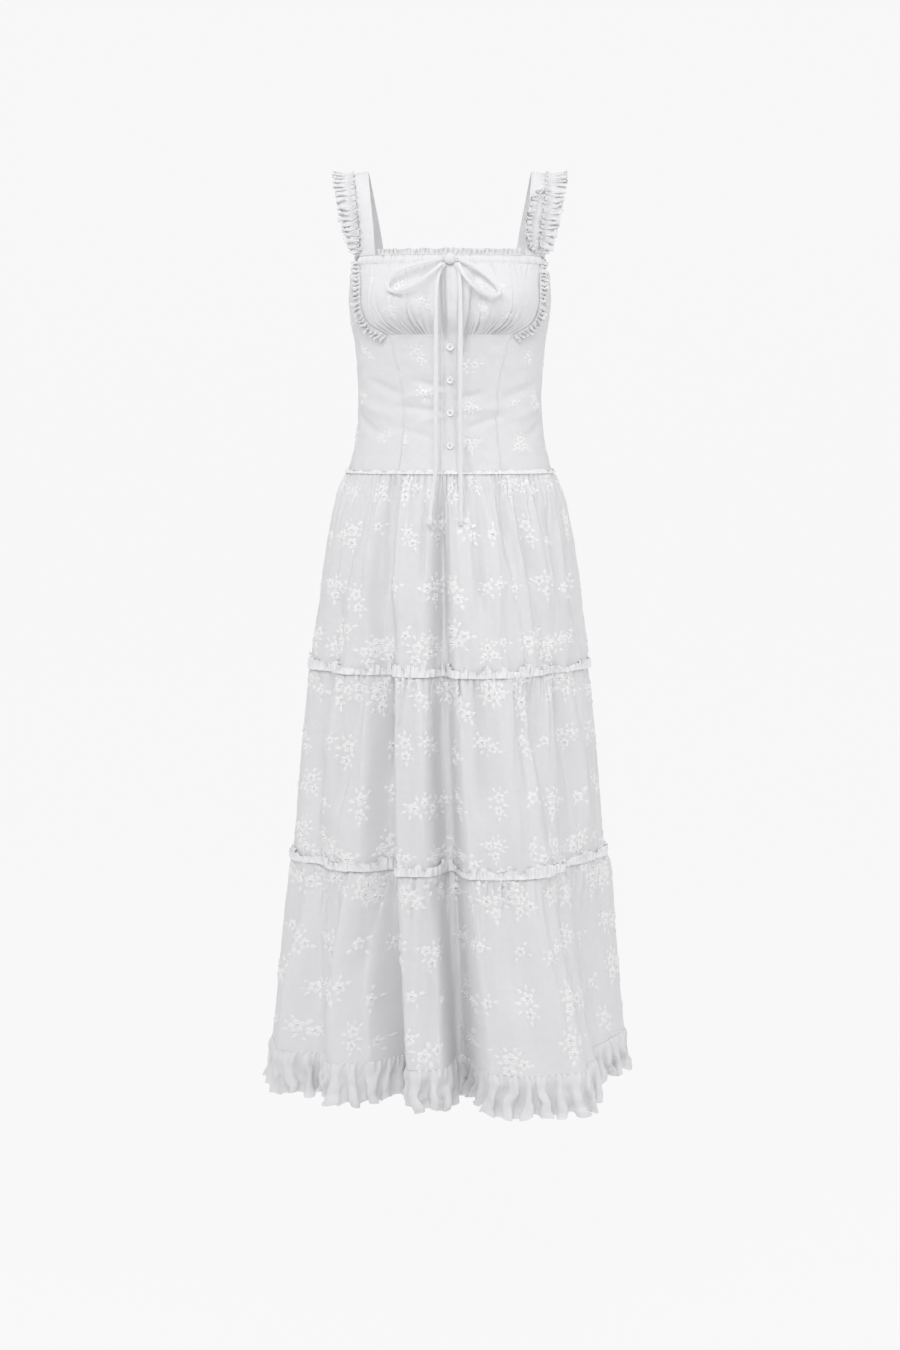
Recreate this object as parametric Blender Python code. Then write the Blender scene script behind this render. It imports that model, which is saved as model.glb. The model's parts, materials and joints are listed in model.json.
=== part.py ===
"""A sleeveless cotton maxi dress, filled out as if worn, with nobody inside it.

The origin lies between the tops of the two shoulder straps, where the wearer's
shoulders carry the dress. Z points up, the front faces -Y, and lengths are metres.
Every piece of cloth is a thin wall: its outer points come from one surface of two
numbers, u round the body and v up it, and its inner points lie a thickness inside.
"""

from collections import namedtuple
from functools import partial
from math import pi, radians

import bmesh
import bpy
import numpy as np

# Heights down the dress
NECK_FRILL_TOP = -0.1118
CASING_TOP = -0.1200
CASING_BOTTOM = -0.1310
UNDERARM = -0.1410
UNDERBUST = -0.2280
DROP_WAIST = -0.4180
SEAM_ONE = -0.6950
SEAM_TWO = -0.9680
HEM_FRILL_TOP = -1.2370
HEM = -1.2930

# Cloth and trim
PANEL_THICKNESS = 0.0012
SKIRT_THICKNESS = 0.0014
FRILL_THICKNESS = 0.0010
SEAM_GAP = 0.0003
PLACKET_WIDTH = 0.026
STRAP_WIDTH = 0.030
STRAP_FRILL_WIDTH = 0.019
SHOULDER_SLOPE = 0.18
CUP_FRILL_WIDTH = 0.013
SEAM_FRILL_HEIGHT = 0.012
BUTTON_DIAMETER = 0.010
BUTTON_THICKNESS = 0.0026
BUTTON_HEIGHTS = (-0.2450, -0.2901, -0.3353, -0.3807)
TIE_WIDTH = 0.006
KNOT_SIZE = (0.017, 0.011, 0.015)

# How far out each frill waves, and how far up a seam its gathers run
NECK_FRILL_FLARE = 0.0034
STRAP_FRILL_FLARE = 0.0075
CUP_FRILL_FLARE = 0.0040
SEAM_FRILL_FLARE = 0.0045
HEM_FRILL_FLARE = 0.0065
CUP_GATHER_DEPTH = 0.0022
CUP_GATHER_REACH = 0.022
NECK_GATHER_REACH = 0.016

# The fullness of the cups and the dip between them, with angles in degrees
BUST_HEIGHT = -0.180
BUST_REACH = 0.036
CUP_FULLNESS = 0.006
CUP_ANGLE = 33.0
CUP_ANGLE_REACH = 17.0
DIP_DEPTH = 0.009
DIP_ANGLE_REACH = 15.0

# How strongly the skirt's columns crowd towards the front, from 0 to 1
FRONT_CROWDING = 0.28

# Waves and gathers, counted once round each piece
TIER_GATHERS = 20
HEM_FRILL_WAVES = 40
SEAM_FRILL_WAVES = 20
NECK_FRILL_WAVES = 12
STRAP_FRILL_WAVES = 8
CUP_FRILL_WAVES = 5
CUP_GATHERS = 5
COLUMNS_PER_WAVE = 4

# A horizontal section of the dress, from the shoulder line down
Section = namedtuple("Section", "height half_width front back squareness")
SECTIONS = (
    Section(-0.1100, 0.1394, 0.098, 0.080, 2.5),
    Section(-0.1260, 0.1398, 0.104, 0.082, 2.5),
    Section(-0.1500, 0.1412, 0.116, 0.086, 2.5),
    Section(-0.1800, 0.1425, 0.126, 0.089, 2.5),
    Section(-0.2050, 0.1400, 0.121, 0.089, 2.5),
    Section(-0.2280, 0.1362, 0.103, 0.088, 2.5),
    Section(-0.2500, 0.1332, 0.096, 0.087, 2.5),
    Section(-0.2720, 0.1315, 0.092, 0.086, 2.5),
    Section(-0.3170, 0.1300, 0.088, 0.086, 2.5),
    Section(-0.3560, 0.1320, 0.091, 0.090, 2.4),
    Section(-0.3900, 0.1375, 0.097, 0.098, 2.4),
    Section(-0.4180, 0.1460, 0.105, 0.108, 2.3),
    Section(-0.4585, 0.1600, 0.117, 0.122, 2.2),
    Section(-0.5440, 0.1785, 0.134, 0.140, 2.1),
    Section(-0.6300, 0.1890, 0.145, 0.152, 2.0),
    Section(-0.6950, 0.1965, 0.152, 0.160, 2.0),
    Section(-0.8050, 0.2083, 0.163, 0.171, 2.0),
    Section(-0.9680, 0.2240, 0.177, 0.184, 2.0),
    Section(-1.0700, 0.2370, 0.186, 0.192, 2.0),
    Section(-1.1600, 0.2470, 0.193, 0.198, 2.0),
    Section(-1.2930, 0.2620, 0.200, 0.206, 2.0),
)

# How deep each fold of the skirt stands out (+) or in (-) at the hem, by its angle
# in degrees from centre front towards the left hand of the wearer
Fold = namedtuple("Fold", "angle depth")
FOLDS = (
    Fold(-165, -0.020),
    Fold(-150, 0.022),
    Fold(-134, -0.030),
    Fold(-118, 0.016),
    Fold(-103, -0.012),
    Fold(-84, 0.004),
    Fold(-67, 0.016),
    Fold(-57, -0.024),
    Fold(-43, 0.010),
    Fold(-34, -0.016),
    Fold(-24, -0.105),
    Fold(-15, 0.004),
    Fold(-3, 0.000),
    Fold(9, -0.112),
    Fold(16, 0.030),
    Fold(28, 0.052),
    Fold(43, 0.060),
    Fold(53, 0.026),
    Fold(65, -0.030),
    Fold(80, -0.020),
    Fold(97, 0.004),
    Fold(113, -0.024),
    Fold(128, 0.018),
    Fold(143, -0.030),
    Fold(159, 0.020),
    Fold(177, -0.026),
    Fold(195, -0.020),
)

# The share of a fold's hem depth at each height, and how far it leans round there
Spread = namedtuple("Spread", "height share")
SPREADS = (
    Spread(-0.418, 0.00),
    Spread(-0.550, 0.13),
    Spread(-0.695, 0.29),
    Spread(-0.805, 0.39),
    Spread(-0.968, 0.57),
    Spread(-1.100, 0.75),
    Spread(-1.237, 0.93),
    Spread(-1.293, 1.00),
)
FOLD_LEAN = 17.0

# The curved seam that bounds a cup above and goes on as the princess seam below
SeamPoint = namedtuple("SeamPoint", "height angle")
CUP_SEAM = (
    SeamPoint(-0.112, 66.0),
    SeamPoint(-0.131, 64.0),
    SeamPoint(-0.150, 60.0),
    SeamPoint(-0.175, 57.0),
    SeamPoint(-0.200, 56.0),
    SeamPoint(-0.215, 53.0),
    SeamPoint(-0.228, 45.5),
    SeamPoint(-0.260, 42.0),
    SeamPoint(-0.418, 37.0),
)
SIDE_SEAM_ANGLE = 98.0
NECK_FRILL_ANGLE = 50.0

# The middle line of the strap over the wearer's left shoulder, front to back
StrapPoint = namedtuple("StrapPoint", "along x y z turn")
STRAP = (
    StrapPoint(0.00, 0.1150, -0.0655, -0.1193, 42.0),
    StrapPoint(0.20, 0.1195, -0.0600, -0.0780, 33.0),
    StrapPoint(0.35, 0.1255, -0.0440, -0.0310, 20.0),
    StrapPoint(0.50, 0.1290, -0.0060, -0.0012, 5.0),
    StrapPoint(0.65, 0.1240, 0.0370, -0.0280, -10.0),
    StrapPoint(0.80, 0.1140, 0.0580, -0.0780, -22.0),
    StrapPoint(1.00, 0.1040, 0.0668, -0.1403, -32.0),
)

# The routes of the two tie ends and of the two loops of the bow
RoutePoint = namedtuple("RoutePoint", "x y z")
RoutedPoint = namedtuple("RoutedPoint", "reach x y z")
TIE_ROUTES = {
    "tie_right": (
        RoutePoint(-0.0068, -0.1098, -0.1330),
        RoutePoint(-0.0130, -0.1170, -0.1400),
        RoutePoint(-0.0175, -0.1240, -0.1560),
        RoutePoint(-0.0190, -0.1300, -0.1800),
        RoutePoint(-0.0192, -0.1320, -0.2200),
        RoutePoint(-0.0193, -0.1310, -0.2900),
        RoutePoint(-0.0193, -0.1290, -0.3600),
        RoutePoint(-0.0198, -0.1280, -0.4150),
        RoutePoint(-0.0245, -0.1300, -0.4480),
        RoutePoint(-0.0287, -0.1330, -0.4890),
    ),
    "tie_left": (
        RoutePoint(0.0068, -0.1098, -0.1330),
        RoutePoint(0.0110, -0.1170, -0.1400),
        RoutePoint(0.0130, -0.1240, -0.1560),
        RoutePoint(0.0140, -0.1300, -0.1800),
        RoutePoint(0.0142, -0.1320, -0.2200),
        RoutePoint(0.0142, -0.1310, -0.2900),
        RoutePoint(0.0143, -0.1290, -0.3600),
        RoutePoint(0.0145, -0.1280, -0.4150),
        RoutePoint(0.0148, -0.1300, -0.4480),
        RoutePoint(0.0150, -0.1330, -0.4890),
    ),
}
LOOP_ROUTES = {
    "bow_loop_right": (
        RoutePoint(-0.0094, -0.1098, -0.1265),
        RoutePoint(-0.0350, -0.1230, -0.1320),
        RoutePoint(-0.0650, -0.1260, -0.1410),
        RoutePoint(-0.0830, -0.1210, -0.1560),
        RoutePoint(-0.0850, -0.1220, -0.1660),
        RoutePoint(-0.0740, -0.1290, -0.1720),
        RoutePoint(-0.0520, -0.1360, -0.1660),
        RoutePoint(-0.0290, -0.1320, -0.1490),
        RoutePoint(-0.0105, -0.1190, -0.1325),
    ),
    "bow_loop_left": (
        RoutePoint(0.0094, -0.1098, -0.1265),
        RoutePoint(0.0290, -0.1230, -0.1350),
        RoutePoint(0.0470, -0.1290, -0.1480),
        RoutePoint(0.0630, -0.1310, -0.1640),
        RoutePoint(0.0670, -0.1320, -0.1740),
        RoutePoint(0.0570, -0.1370, -0.1780),
        RoutePoint(0.0390, -0.1390, -0.1700),
        RoutePoint(0.0210, -0.1320, -0.1520),
        RoutePoint(0.0105, -0.1190, -0.1325),
    ),
}
LOOP_WIDTH = 0.0044
KNOT_CENTRE = (0.0, -0.1098, -0.1265)

# sRGB reflectances of the bleached cotton and of the shell buttons, made linear
COTTON = (0.86, 0.86, 0.87)
BUTTON_WHITE = (0.88, 0.87, 0.84)


def clear_scene():
    for old in list(bpy.data.objects):
        bpy.data.objects.remove(old, do_unlink=True)


def finish_material(name, colour, roughness):
    """A plain opaque dielectric in the given colour."""
    material = bpy.data.materials.new(name)
    material.use_nodes = True
    shader = material.node_tree.nodes["Principled BSDF"]
    shader.inputs["Base Color"].default_value = (*colour, 1.0)
    shader.inputs["Roughness"].default_value = roughness
    shader.inputs["Metallic"].default_value = 0.0
    return material


def eased(at, rows, column):
    """The column of a table at places between its rows, with a smooth turn at each row."""
    places = np.array([row[0] for row in rows], float)
    values = np.array([getattr(row, column) for row in rows], float)
    if places[0] > places[-1]:
        places, values = places[::-1], values[::-1]
    at = np.clip(at, places[0], places[-1])
    index = np.clip(np.searchsorted(places, at) - 1, 0, len(places) - 2)
    share = (at - places[index]) / (places[index + 1] - places[index])
    share = (1 - np.cos(pi * share)) / 2
    return values[index] * (1 - share) + values[index + 1] * share


def smooth(at, rows, column):
    """The column of a table as one soft curve through its rows."""
    places = np.array([row[0] for row in rows], float)
    values = np.array([getattr(row, column) for row in rows], float)
    if places[0] > places[-1]:
        places, values = places[::-1], values[::-1]
    slopes = np.gradient(values, places)
    at = np.clip(at, places[0], places[-1])
    index = np.clip(np.searchsorted(places, at) - 1, 0, len(places) - 2)
    step = places[index + 1] - places[index]
    t = (at - places[index]) / step
    return (
        (2 * t**3 - 3 * t**2 + 1) * values[index]
        + (t**3 - 2 * t**2 + t) * step * slopes[index]
        + (3 * t**2 - 2 * t**3) * values[index + 1]
        + (t**3 - t**2) * step * slopes[index + 1]
    )


def ring_radius(angle, height):
    """The radius of the dress's plain section, before any bust, fold or gather."""
    half_width = smooth(height, SECTIONS, "half_width")
    front = smooth(height, SECTIONS, "front")
    back = smooth(height, SECTIONS, "back")
    power = smooth(height, SECTIONS, "squareness")
    depth = np.where(np.cos(angle) > 0, front, back)
    across = (np.abs(np.sin(angle)) / half_width) ** power
    along = (np.abs(np.cos(angle)) / depth) ** power
    return (across + along) ** (-1 / power)


def placed(angle, radius, height):
    """Points at an angle from centre front, a radius and a height."""
    return np.stack(
        np.broadcast_arrays(radius * np.sin(angle), -radius * np.cos(angle), height), -1
    )


def body_point(angle, height):
    """A point of the bodice: its section, with fullness in each cup and a dip between."""
    fullness = np.exp(-(((height - BUST_HEIGHT) / BUST_REACH) ** 2))
    dip = np.exp(-((angle / radians(DIP_ANGLE_REACH)) ** 2))
    apex = np.exp(-(((np.abs(angle) - radians(CUP_ANGLE)) / radians(CUP_ANGLE_REACH)) ** 2))
    radius = ring_radius(angle, height) + fullness * (CUP_FULLNESS * apex - DIP_DEPTH * dip)
    return placed(angle, radius, height)


def turned(turn):
    """The angle for a turn from 0 to 1, with its columns closer together at the front."""
    around = 2 * pi * turn
    return around - FRONT_CROWDING * np.sin(around)


def skirt_point(turn, height, gathers):
    """A point of the skirt: its section, its folds and the fine gathers of a tier."""
    angle = turned(turn)
    share = smooth(height, SPREADS, "share")
    lean = radians(FOLD_LEAN) * (1 - share)
    around = np.degrees((angle + lean + radians(165)) % (2 * pi)) - 165
    folds = eased(around, FOLDS, "depth") * share
    radius = ring_radius(angle, height) + folds + gathers
    return placed(angle, radius, height)


def gather_waves(turn, down, count, phase, top, bottom):
    """Fine gathers, deep where the tier is sewn in and fading down it."""
    uneven = 0.7 + 0.3 * np.sin(3 * 2 * pi * turn + phase)
    return (top * (1 - down) + bottom * down) * uneven * np.sin(count * 2 * pi * turn + phase)


def wall_normals(surface, us, vs, level):
    """Outward unit normals of a surface, kept level where a wall's rims are level."""
    step = 1e-4
    across = surface(us + step, vs) - surface(us - step, vs)
    up = surface(us, vs + step) - surface(us, vs - step)
    normals = np.cross(across, up)
    if level:
        normals[..., 2] = 0
    return normals / np.linalg.norm(normals, axis=-1, keepdims=True)


def cloth_wall(
    name, surface, columns, rows, thickness, material, closed=False, level=True, under=None
):
    """One wall of cloth, closed all round, from its outer surface and its thickness.

    columns is a count, or the places along u; rows is a count, or the places along v.
    A piece that lies on another gives its own inner surface as under.
    """
    us = np.linspace(0, 1, columns + 1) if isinstance(columns, int) else np.asarray(columns)
    vs = np.linspace(0, 1, rows + 1) if isinstance(rows, int) else np.asarray(rows)
    if closed:
        us = us[:-1]
    grid_u, grid_v = np.meshgrid(us, vs, indexing="ij")
    outer = surface(grid_u, grid_v)
    if under is None:
        inner = outer - thickness * wall_normals(surface, grid_u, grid_v, level)
    else:
        inner = under(grid_u, grid_v)
    mesh = bpy.data.meshes.new(name)
    shape = bmesh.new()
    outside = [[shape.verts.new(p) for p in line] for line in outer]
    inside = [[shape.verts.new(p) for p in line] for line in inner]
    count, last = len(us), len(vs) - 1
    for i in range(count if closed else count - 1):
        k = (i + 1) % count
        for j in range(last):
            shape.faces.new((outside[i][j], outside[k][j], outside[k][j + 1], outside[i][j + 1]))
            shape.faces.new((inside[i][j], inside[i][j + 1], inside[k][j + 1], inside[k][j]))
        shape.faces.new((outside[i][0], inside[i][0], inside[k][0], outside[k][0]))
        shape.faces.new((outside[i][last], outside[k][last], inside[k][last], inside[i][last]))
    if not closed:
        end = count - 1
        for j in range(last):
            shape.faces.new((outside[0][j], outside[0][j + 1], inside[0][j + 1], inside[0][j]))
            shape.faces.new(
                (outside[end][j], inside[end][j], inside[end][j + 1], outside[end][j + 1])
            )
    shape.to_mesh(mesh)
    shape.free()
    return add_object(name, mesh, material)


def add_object(name, mesh, material):
    mesh.materials.append(material)
    mesh.shade_smooth()
    mesh.set_sharp_from_angle(angle=radians(50))
    piece = bpy.data.objects.new(name, mesh)
    bpy.context.scene.collection.objects.link(piece)
    return piece


def mirrored(surface):
    """The same surface on the other side of the dress, still facing out."""
    return lambda u, v: surface(1 - u, v) * np.array((-1.0, 1.0, 1.0))


def on_both_sides(name, surface, columns, rows, thickness, material, level=True):
    """A wall on the wearer's left side, which is +X, and its mirror image on the right."""
    cloth_wall(f"{name}_left", surface, columns, rows, thickness, material, level=level)
    turned_rows = 1 - np.asarray(columns)[::-1] if not isinstance(columns, int) else columns
    other = mirrored(surface)
    cloth_wall(f"{name}_right", other, turned_rows, rows, thickness, material, level=level)


def half_gap(radius=0.13):
    """Half of a seam's gap as an angle at the bodice."""
    return SEAM_GAP / 2 / radius


def placket_edge(height):
    """The angle at which the placket ends and the fronts begin."""
    return np.arctan2(PLACKET_WIDTH / 2, smooth(height, SECTIONS, "front"))


def cup_seam(height):
    return np.radians(smooth(height, CUP_SEAM, "angle"))


def cup_rows():
    """Row heights of a cup, which the side panel shares where the two meet."""
    return np.append(np.linspace(UNDERBUST, UNDERARM, 7), CASING_BOTTOM)


def lower_rows():
    return np.linspace(DROP_WAIST, UNDERBUST, 6)


def trimmed(heights):
    """Row heights with half a seam's gap taken off each end."""
    heights = np.array(heights, float)
    heights[0] += SEAM_GAP / 2
    heights[-1] -= SEAM_GAP / 2
    return heights


def placket_surface(u, height):
    return body_point((2 * u - 1) * (placket_edge(height) - half_gap()), height)


def placket_rows():
    return trimmed(np.append(lower_rows(), cup_rows()[1:]))


def bodice(cotton):
    """Placket, cups, front and side panels and the back, each between its own seams."""

    def between(start, end, gathers=None):
        def surface(u, height):
            first, last = start(height), end(height)
            points = body_point(first + (last - first) * u, height)
            if gathers is None:
                return points
            outward = points / np.linalg.norm(points[..., :2], axis=-1, keepdims=True)
            outward[..., 2] = 0
            return points + outward * gathers(u, height)[..., None]

        return surface

    def cup_gathers(u, height):
        near_seam = np.exp(-(height - UNDERBUST) / CUP_GATHER_REACH)
        near_neck = 0.6 * np.exp(-(CASING_BOTTOM - height) / NECK_GATHER_REACH)
        wave = np.cos(2 * pi * CUP_GATHERS * u) * np.sin(pi * np.clip(u, 0, 1))
        return CUP_GATHER_DEPTH * (near_seam + near_neck) * wave

    def opening(height):
        return placket_edge(height) + half_gap()

    def inner_seam(height):
        return cup_seam(height) - half_gap()

    def outer_seam(height):
        return cup_seam(height) + half_gap()

    def side_seam(height):
        return radians(SIDE_SEAM_ANGLE) - half_gap() + 0 * height

    cup = between(opening, inner_seam, cup_gathers)
    on_both_sides("cup", cup, 15, trimmed(cup_rows()), PANEL_THICKNESS, cotton)
    front = between(opening, inner_seam)
    on_both_sides("front_panel", front, 6, trimmed(lower_rows()), PANEL_THICKNESS, cotton)
    side = between(outer_seam, side_seam)
    side_rows = np.append(lower_rows(), cup_rows()[1:-1])
    on_both_sides("side_panel", side, 6, trimmed(side_rows), PANEL_THICKNESS, cotton)

    def back_surface(u, height):
        start = radians(SIDE_SEAM_ANGLE) + half_gap()
        return body_point(start + (2 * pi - 2 * start) * u, height)

    back_rows = trimmed(np.append(lower_rows(), (-0.2, -0.17, UNDERARM)))
    cloth_wall("back_panel", back_surface, 20, back_rows, PANEL_THICKNESS, cotton)

    cloth_wall("placket", placket_surface, 3, placket_rows(), PANEL_THICKNESS, cotton)


def neckline(cotton):
    """The drawstring casing over the cups, and the gathered heading that stands on it."""
    end = cup_seam(CASING_TOP) - half_gap()

    def casing(u, height):
        return body_point((2 * u - 1) * end, height)

    rows = trimmed((CASING_BOTTOM, CASING_TOP))
    cloth_wall("neck_casing", casing, 24, rows, PANEL_THICKNESS, cotton)

    def frill(u, v):
        angle = (2 * u - 1) * radians(NECK_FRILL_ANGLE)
        height = CASING_TOP + SEAM_GAP / 2 + v * (NECK_FRILL_TOP - CASING_TOP)
        points = body_point(angle, height)
        outward = placed(angle, 1.0, 0.0 * height)
        wave = 0.5 + 0.5 * np.sin(2 * pi * NECK_FRILL_WAVES * u)
        return points + outward * (NECK_FRILL_FLARE * v * wave)[..., None]

    columns = NECK_FRILL_WAVES * COLUMNS_PER_WAVE
    cloth_wall("neck_frill", frill, columns, 1, FRILL_THICKNESS, cotton)


def strap_frame(along):
    """The strap's middle line, the way across it and the way out of it, at each place."""

    def middle(at):
        return np.stack([smooth(at, STRAP, axis) for axis in "xyz"], -1)

    turn = np.radians(smooth(along, STRAP, "turn"))
    slope = SHOULDER_SLOPE * np.sin(pi * np.clip(along, 0, 1))
    across = np.stack([np.cos(turn), np.sin(turn), -slope], -1)
    across /= np.linalg.norm(across, axis=-1, keepdims=True)
    step = 1e-3
    ahead = middle(np.minimum(along + step, 1)) - middle(np.maximum(along - step, 0))
    out = np.cross(across, ahead)
    out /= np.linalg.norm(out, axis=-1, keepdims=True)
    return middle(along), across, out


def straps(cotton):
    """A wide band over each shoulder with a gathered frill along its outer edge."""

    def band(u, v):
        middle, across, _ = strap_frame(v)
        return middle + across * ((u - 0.5) * STRAP_WIDTH)[..., None]

    on_both_sides("strap", band, 2, 14, PANEL_THICKNESS, cotton, level=False)

    def frill(u, v):
        middle, across, out = strap_frame(0.03 + 0.94 * v)
        reach = STRAP_WIDTH / 2 + SEAM_GAP + STRAP_FRILL_WIDTH * u
        wave = np.sin(2 * pi * STRAP_FRILL_WAVES * v)
        raised = STRAP_FRILL_FLARE * u * (1 + 0.45 * wave)
        return middle + across * reach[..., None] + out * raised[..., None]

    rows = STRAP_FRILL_WAVES * COLUMNS_PER_WAVE
    on_both_sides("strap_frill", frill, 1, rows, FRILL_THICKNESS, cotton, level=False)


def cup_frills(cotton):
    """The gathered strip that follows each cup's curved seam over the side panel."""

    def surface(u, v):
        height = UNDERBUST - 0.002 + v * (UNDERARM - 0.004 - UNDERBUST)
        seam = cup_seam(height) + half_gap()
        swing = CUP_FRILL_WIDTH / 0.145 * (0.75 + 0.25 * np.sin(pi * v))
        points = body_point(seam + swing * u, height - 0.010 * u * (1 - v))
        outward = points / np.linalg.norm(points[..., :2], axis=-1, keepdims=True)
        outward[..., 2] = 0
        wave = 0.5 + 0.5 * np.sin(2 * pi * CUP_FRILL_WAVES * v)
        raised = FRILL_THICKNESS + 3 * SEAM_GAP + u * (0.0012 + CUP_FRILL_FLARE * wave)
        return points + outward * raised[..., None]

    rows = CUP_FRILL_WAVES * COLUMNS_PER_WAVE
    on_both_sides("cup_frill", surface, 1, rows, FRILL_THICKNESS, cotton)


Tier = namedtuple("Tier", "name top bottom rows phase gather")
TIERS = (
    Tier("skirt_tier_1", DROP_WAIST, SEAM_ONE, 4, 0.0, 0.0022),
    Tier("skirt_tier_2", SEAM_ONE, SEAM_TWO, 4, 1.3, 0.0028),
    Tier("skirt_tier_3", SEAM_TWO, HEM_FRILL_TOP, 4, 2.1, 0.0030),
)


def tier_surface(tier):
    def surface(u, v):
        top, bottom = tier.top - SEAM_GAP / 2, tier.bottom + SEAM_GAP / 2
        height = bottom + v * (top - bottom)
        waves = gather_waves(u, 1 - v, TIER_GATHERS, tier.phase, tier.gather, tier.gather / 3)
        return skirt_point(u, height, waves)

    return surface


def tier_rows(tier):
    """Rows up a tier, with one at the top of the heading that lies over its lower edge."""
    heading_top = SEAM_FRILL_HEIGHT / (tier.top - tier.bottom)
    return np.append(0.0, np.linspace(heading_top, 1.0, tier.rows))


def skirt(cotton):
    """Three tiers, the frilled heading that stands up at each seam, and the hem frill."""
    columns = TIER_GATHERS * COLUMNS_PER_WAVE
    for tier in TIERS:
        cloth_wall(
            tier.name, tier_surface(tier), columns, tier_rows(tier), SKIRT_THICKNESS, cotton, True
        )
    for number, tier in enumerate(TIERS[:2], start=1):
        base = tier_surface(tier)
        top = tier_rows(tier)[1]

        def heading(u, v, lift, base=base, top=top):
            share = v * top
            outward = wall_normals(base, u, share, True)
            straight_out = np.sum(outward * placed(turned(u), 1.0, 0.0 * u), -1)
            room = np.clip(straight_out, 0, 1) ** 4
            wave = 0.5 + 0.5 * np.sin(2 * pi * SEAM_FRILL_WAVES * u)
            raised = SEAM_GAP + lift + v * room * (0.001 + SEAM_FRILL_FLARE * wave)
            return base(u, share) + outward * raised[..., None]

        cloth_wall(
            f"seam_frill_{number}",
            partial(heading, lift=FRILL_THICKNESS),
            SEAM_FRILL_WAVES * COLUMNS_PER_WAVE,
            1,
            FRILL_THICKNESS,
            cotton,
            closed=True,
            under=partial(heading, lift=0.0),
        )

    def hem_frill(u, v):
        top, bottom = HEM_FRILL_TOP - SEAM_GAP / 2, HEM
        wave = np.sin(2 * pi * HEM_FRILL_WAVES * u)
        flare = HEM_FRILL_FLARE * (1 - v) * wave
        return skirt_point(u, bottom + v * (top - bottom), flare)

    columns = HEM_FRILL_WAVES * COLUMNS_PER_WAVE
    cloth_wall("hem_frill", hem_frill, columns, 2, FRILL_THICKNESS, cotton, closed=True)


def buttons(shell):
    """Small round buttons down the placket, each flat on the cloth at its height."""
    for number, height in enumerate(BUTTON_HEIGHTS, start=1):
        mesh = bpy.data.meshes.new(f"button_{number}")
        shape = bmesh.new()
        bmesh.ops.create_cone(
            shape,
            cap_ends=True,
            segments=16,
            radius1=BUTTON_DIAMETER / 2,
            radius2=BUTTON_DIAMETER / 2,
            depth=BUTTON_THICKNESS,
        )
        rims = [e for e in shape.edges if abs(e.verts[0].co.z - e.verts[1].co.z) < 1e-6]
        bmesh.ops.bevel(shape, geom=rims, offset=0.0006, segments=1, affect="EDGES")
        shape.to_mesh(mesh)
        shape.free()
        button = add_object(f"button_{number}", mesh, shell)
        rows = placket_rows()
        above = np.searchsorted(rows, height)
        low, high = placket_surface(np.full(2, 1 / 3), rows[above - 1 : above + 1])
        share = (height - low[2]) / (high[2] - low[2])
        lean = np.arctan2(high[1] - low[1], high[2] - low[2])
        stand_off = BUTTON_THICKNESS / 2 + 2 * SEAM_GAP
        button.rotation_euler = (pi / 2 - lean, 0, 0)
        face = low[1] + share * (high[1] - low[1])
        button.location = (0, face - stand_off * np.cos(lean), height + stand_off * np.sin(lean))


def route_through(points, spacing):
    """Evenly spaced points on one soft curve through a route's own points."""
    knots = np.array(points, float)
    reach = np.append(0, np.cumsum(np.linalg.norm(np.diff(knots, axis=0), axis=1)))
    rows = [RoutedPoint(s, *p) for s, p in zip(reach, knots)]
    count = max(8, round(reach[-1] / spacing))
    along = np.linspace(0, reach[-1], count + 1)
    return np.stack([smooth(along, rows, axis) for axis in "xyz"], -1)


def cord(name, points, width, spacing, material):
    """A soft tie as one round tube with closed ends."""
    curve = bpy.data.curves.new(name, "CURVE")
    curve.dimensions = "3D"
    curve.bevel_depth = width / 2
    curve.bevel_resolution = 2
    curve.use_fill_caps = True
    curve.materials.append(material)
    route = route_through(points, spacing)
    spline = curve.splines.new("POLY")
    spline.points.add(len(route) - 1)
    for point, place in zip(spline.points, route):
        point.co = (*place, 1.0)
    spline.use_smooth = True
    piece = bpy.data.objects.new(name, curve)
    bpy.context.scene.collection.objects.link(piece)


def drawstring(cotton):
    """The knot at the centre of the casing, the two loops of its bow and the two ends."""
    mesh = bpy.data.meshes.new("bow_knot")
    shape = bmesh.new()
    bmesh.ops.create_uvsphere(shape, u_segments=12, v_segments=8, radius=0.5)
    for vert in shape.verts:
        vert.co = [c * size for c, size in zip(vert.co, KNOT_SIZE)]
    shape.to_mesh(mesh)
    shape.free()
    add_object("bow_knot", mesh, cotton).location = KNOT_CENTRE
    for name, points in LOOP_ROUTES.items():
        cord(name, points, LOOP_WIDTH, 0.009, cotton)
    for name, points in TIE_ROUTES.items():
        cord(name, points, TIE_WIDTH, 0.015, cotton)


def main():
    clear_scene()
    cotton = finish_material("cotton_voile", COTTON, 0.85)
    shell = finish_material("button_shell", BUTTON_WHITE, 0.35)
    bodice(cotton)
    neckline(cotton)
    straps(cotton)
    cup_frills(cotton)
    skirt(cotton)
    buttons(shell)
    drawstring(cotton)


main()
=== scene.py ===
"""The looks of a sleeveless white cotton maxi dress, filled out as if worn, with nobody in it.

Lengths are metres, Z points up, the front faces -Y, and +X is the wearer's left. Every piece
of cloth is a closed thin shell: its outer points are worked out on a fine grid from the same
sizes as the solids, with the creases, gathers and ruffles that show on the real cloth.
"""

import json
import logging
from collections.abc import Callable, Sequence
from dataclasses import asdict, dataclass, fields, replace
from enum import Enum
from math import pi, radians
from typing import NamedTuple

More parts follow.
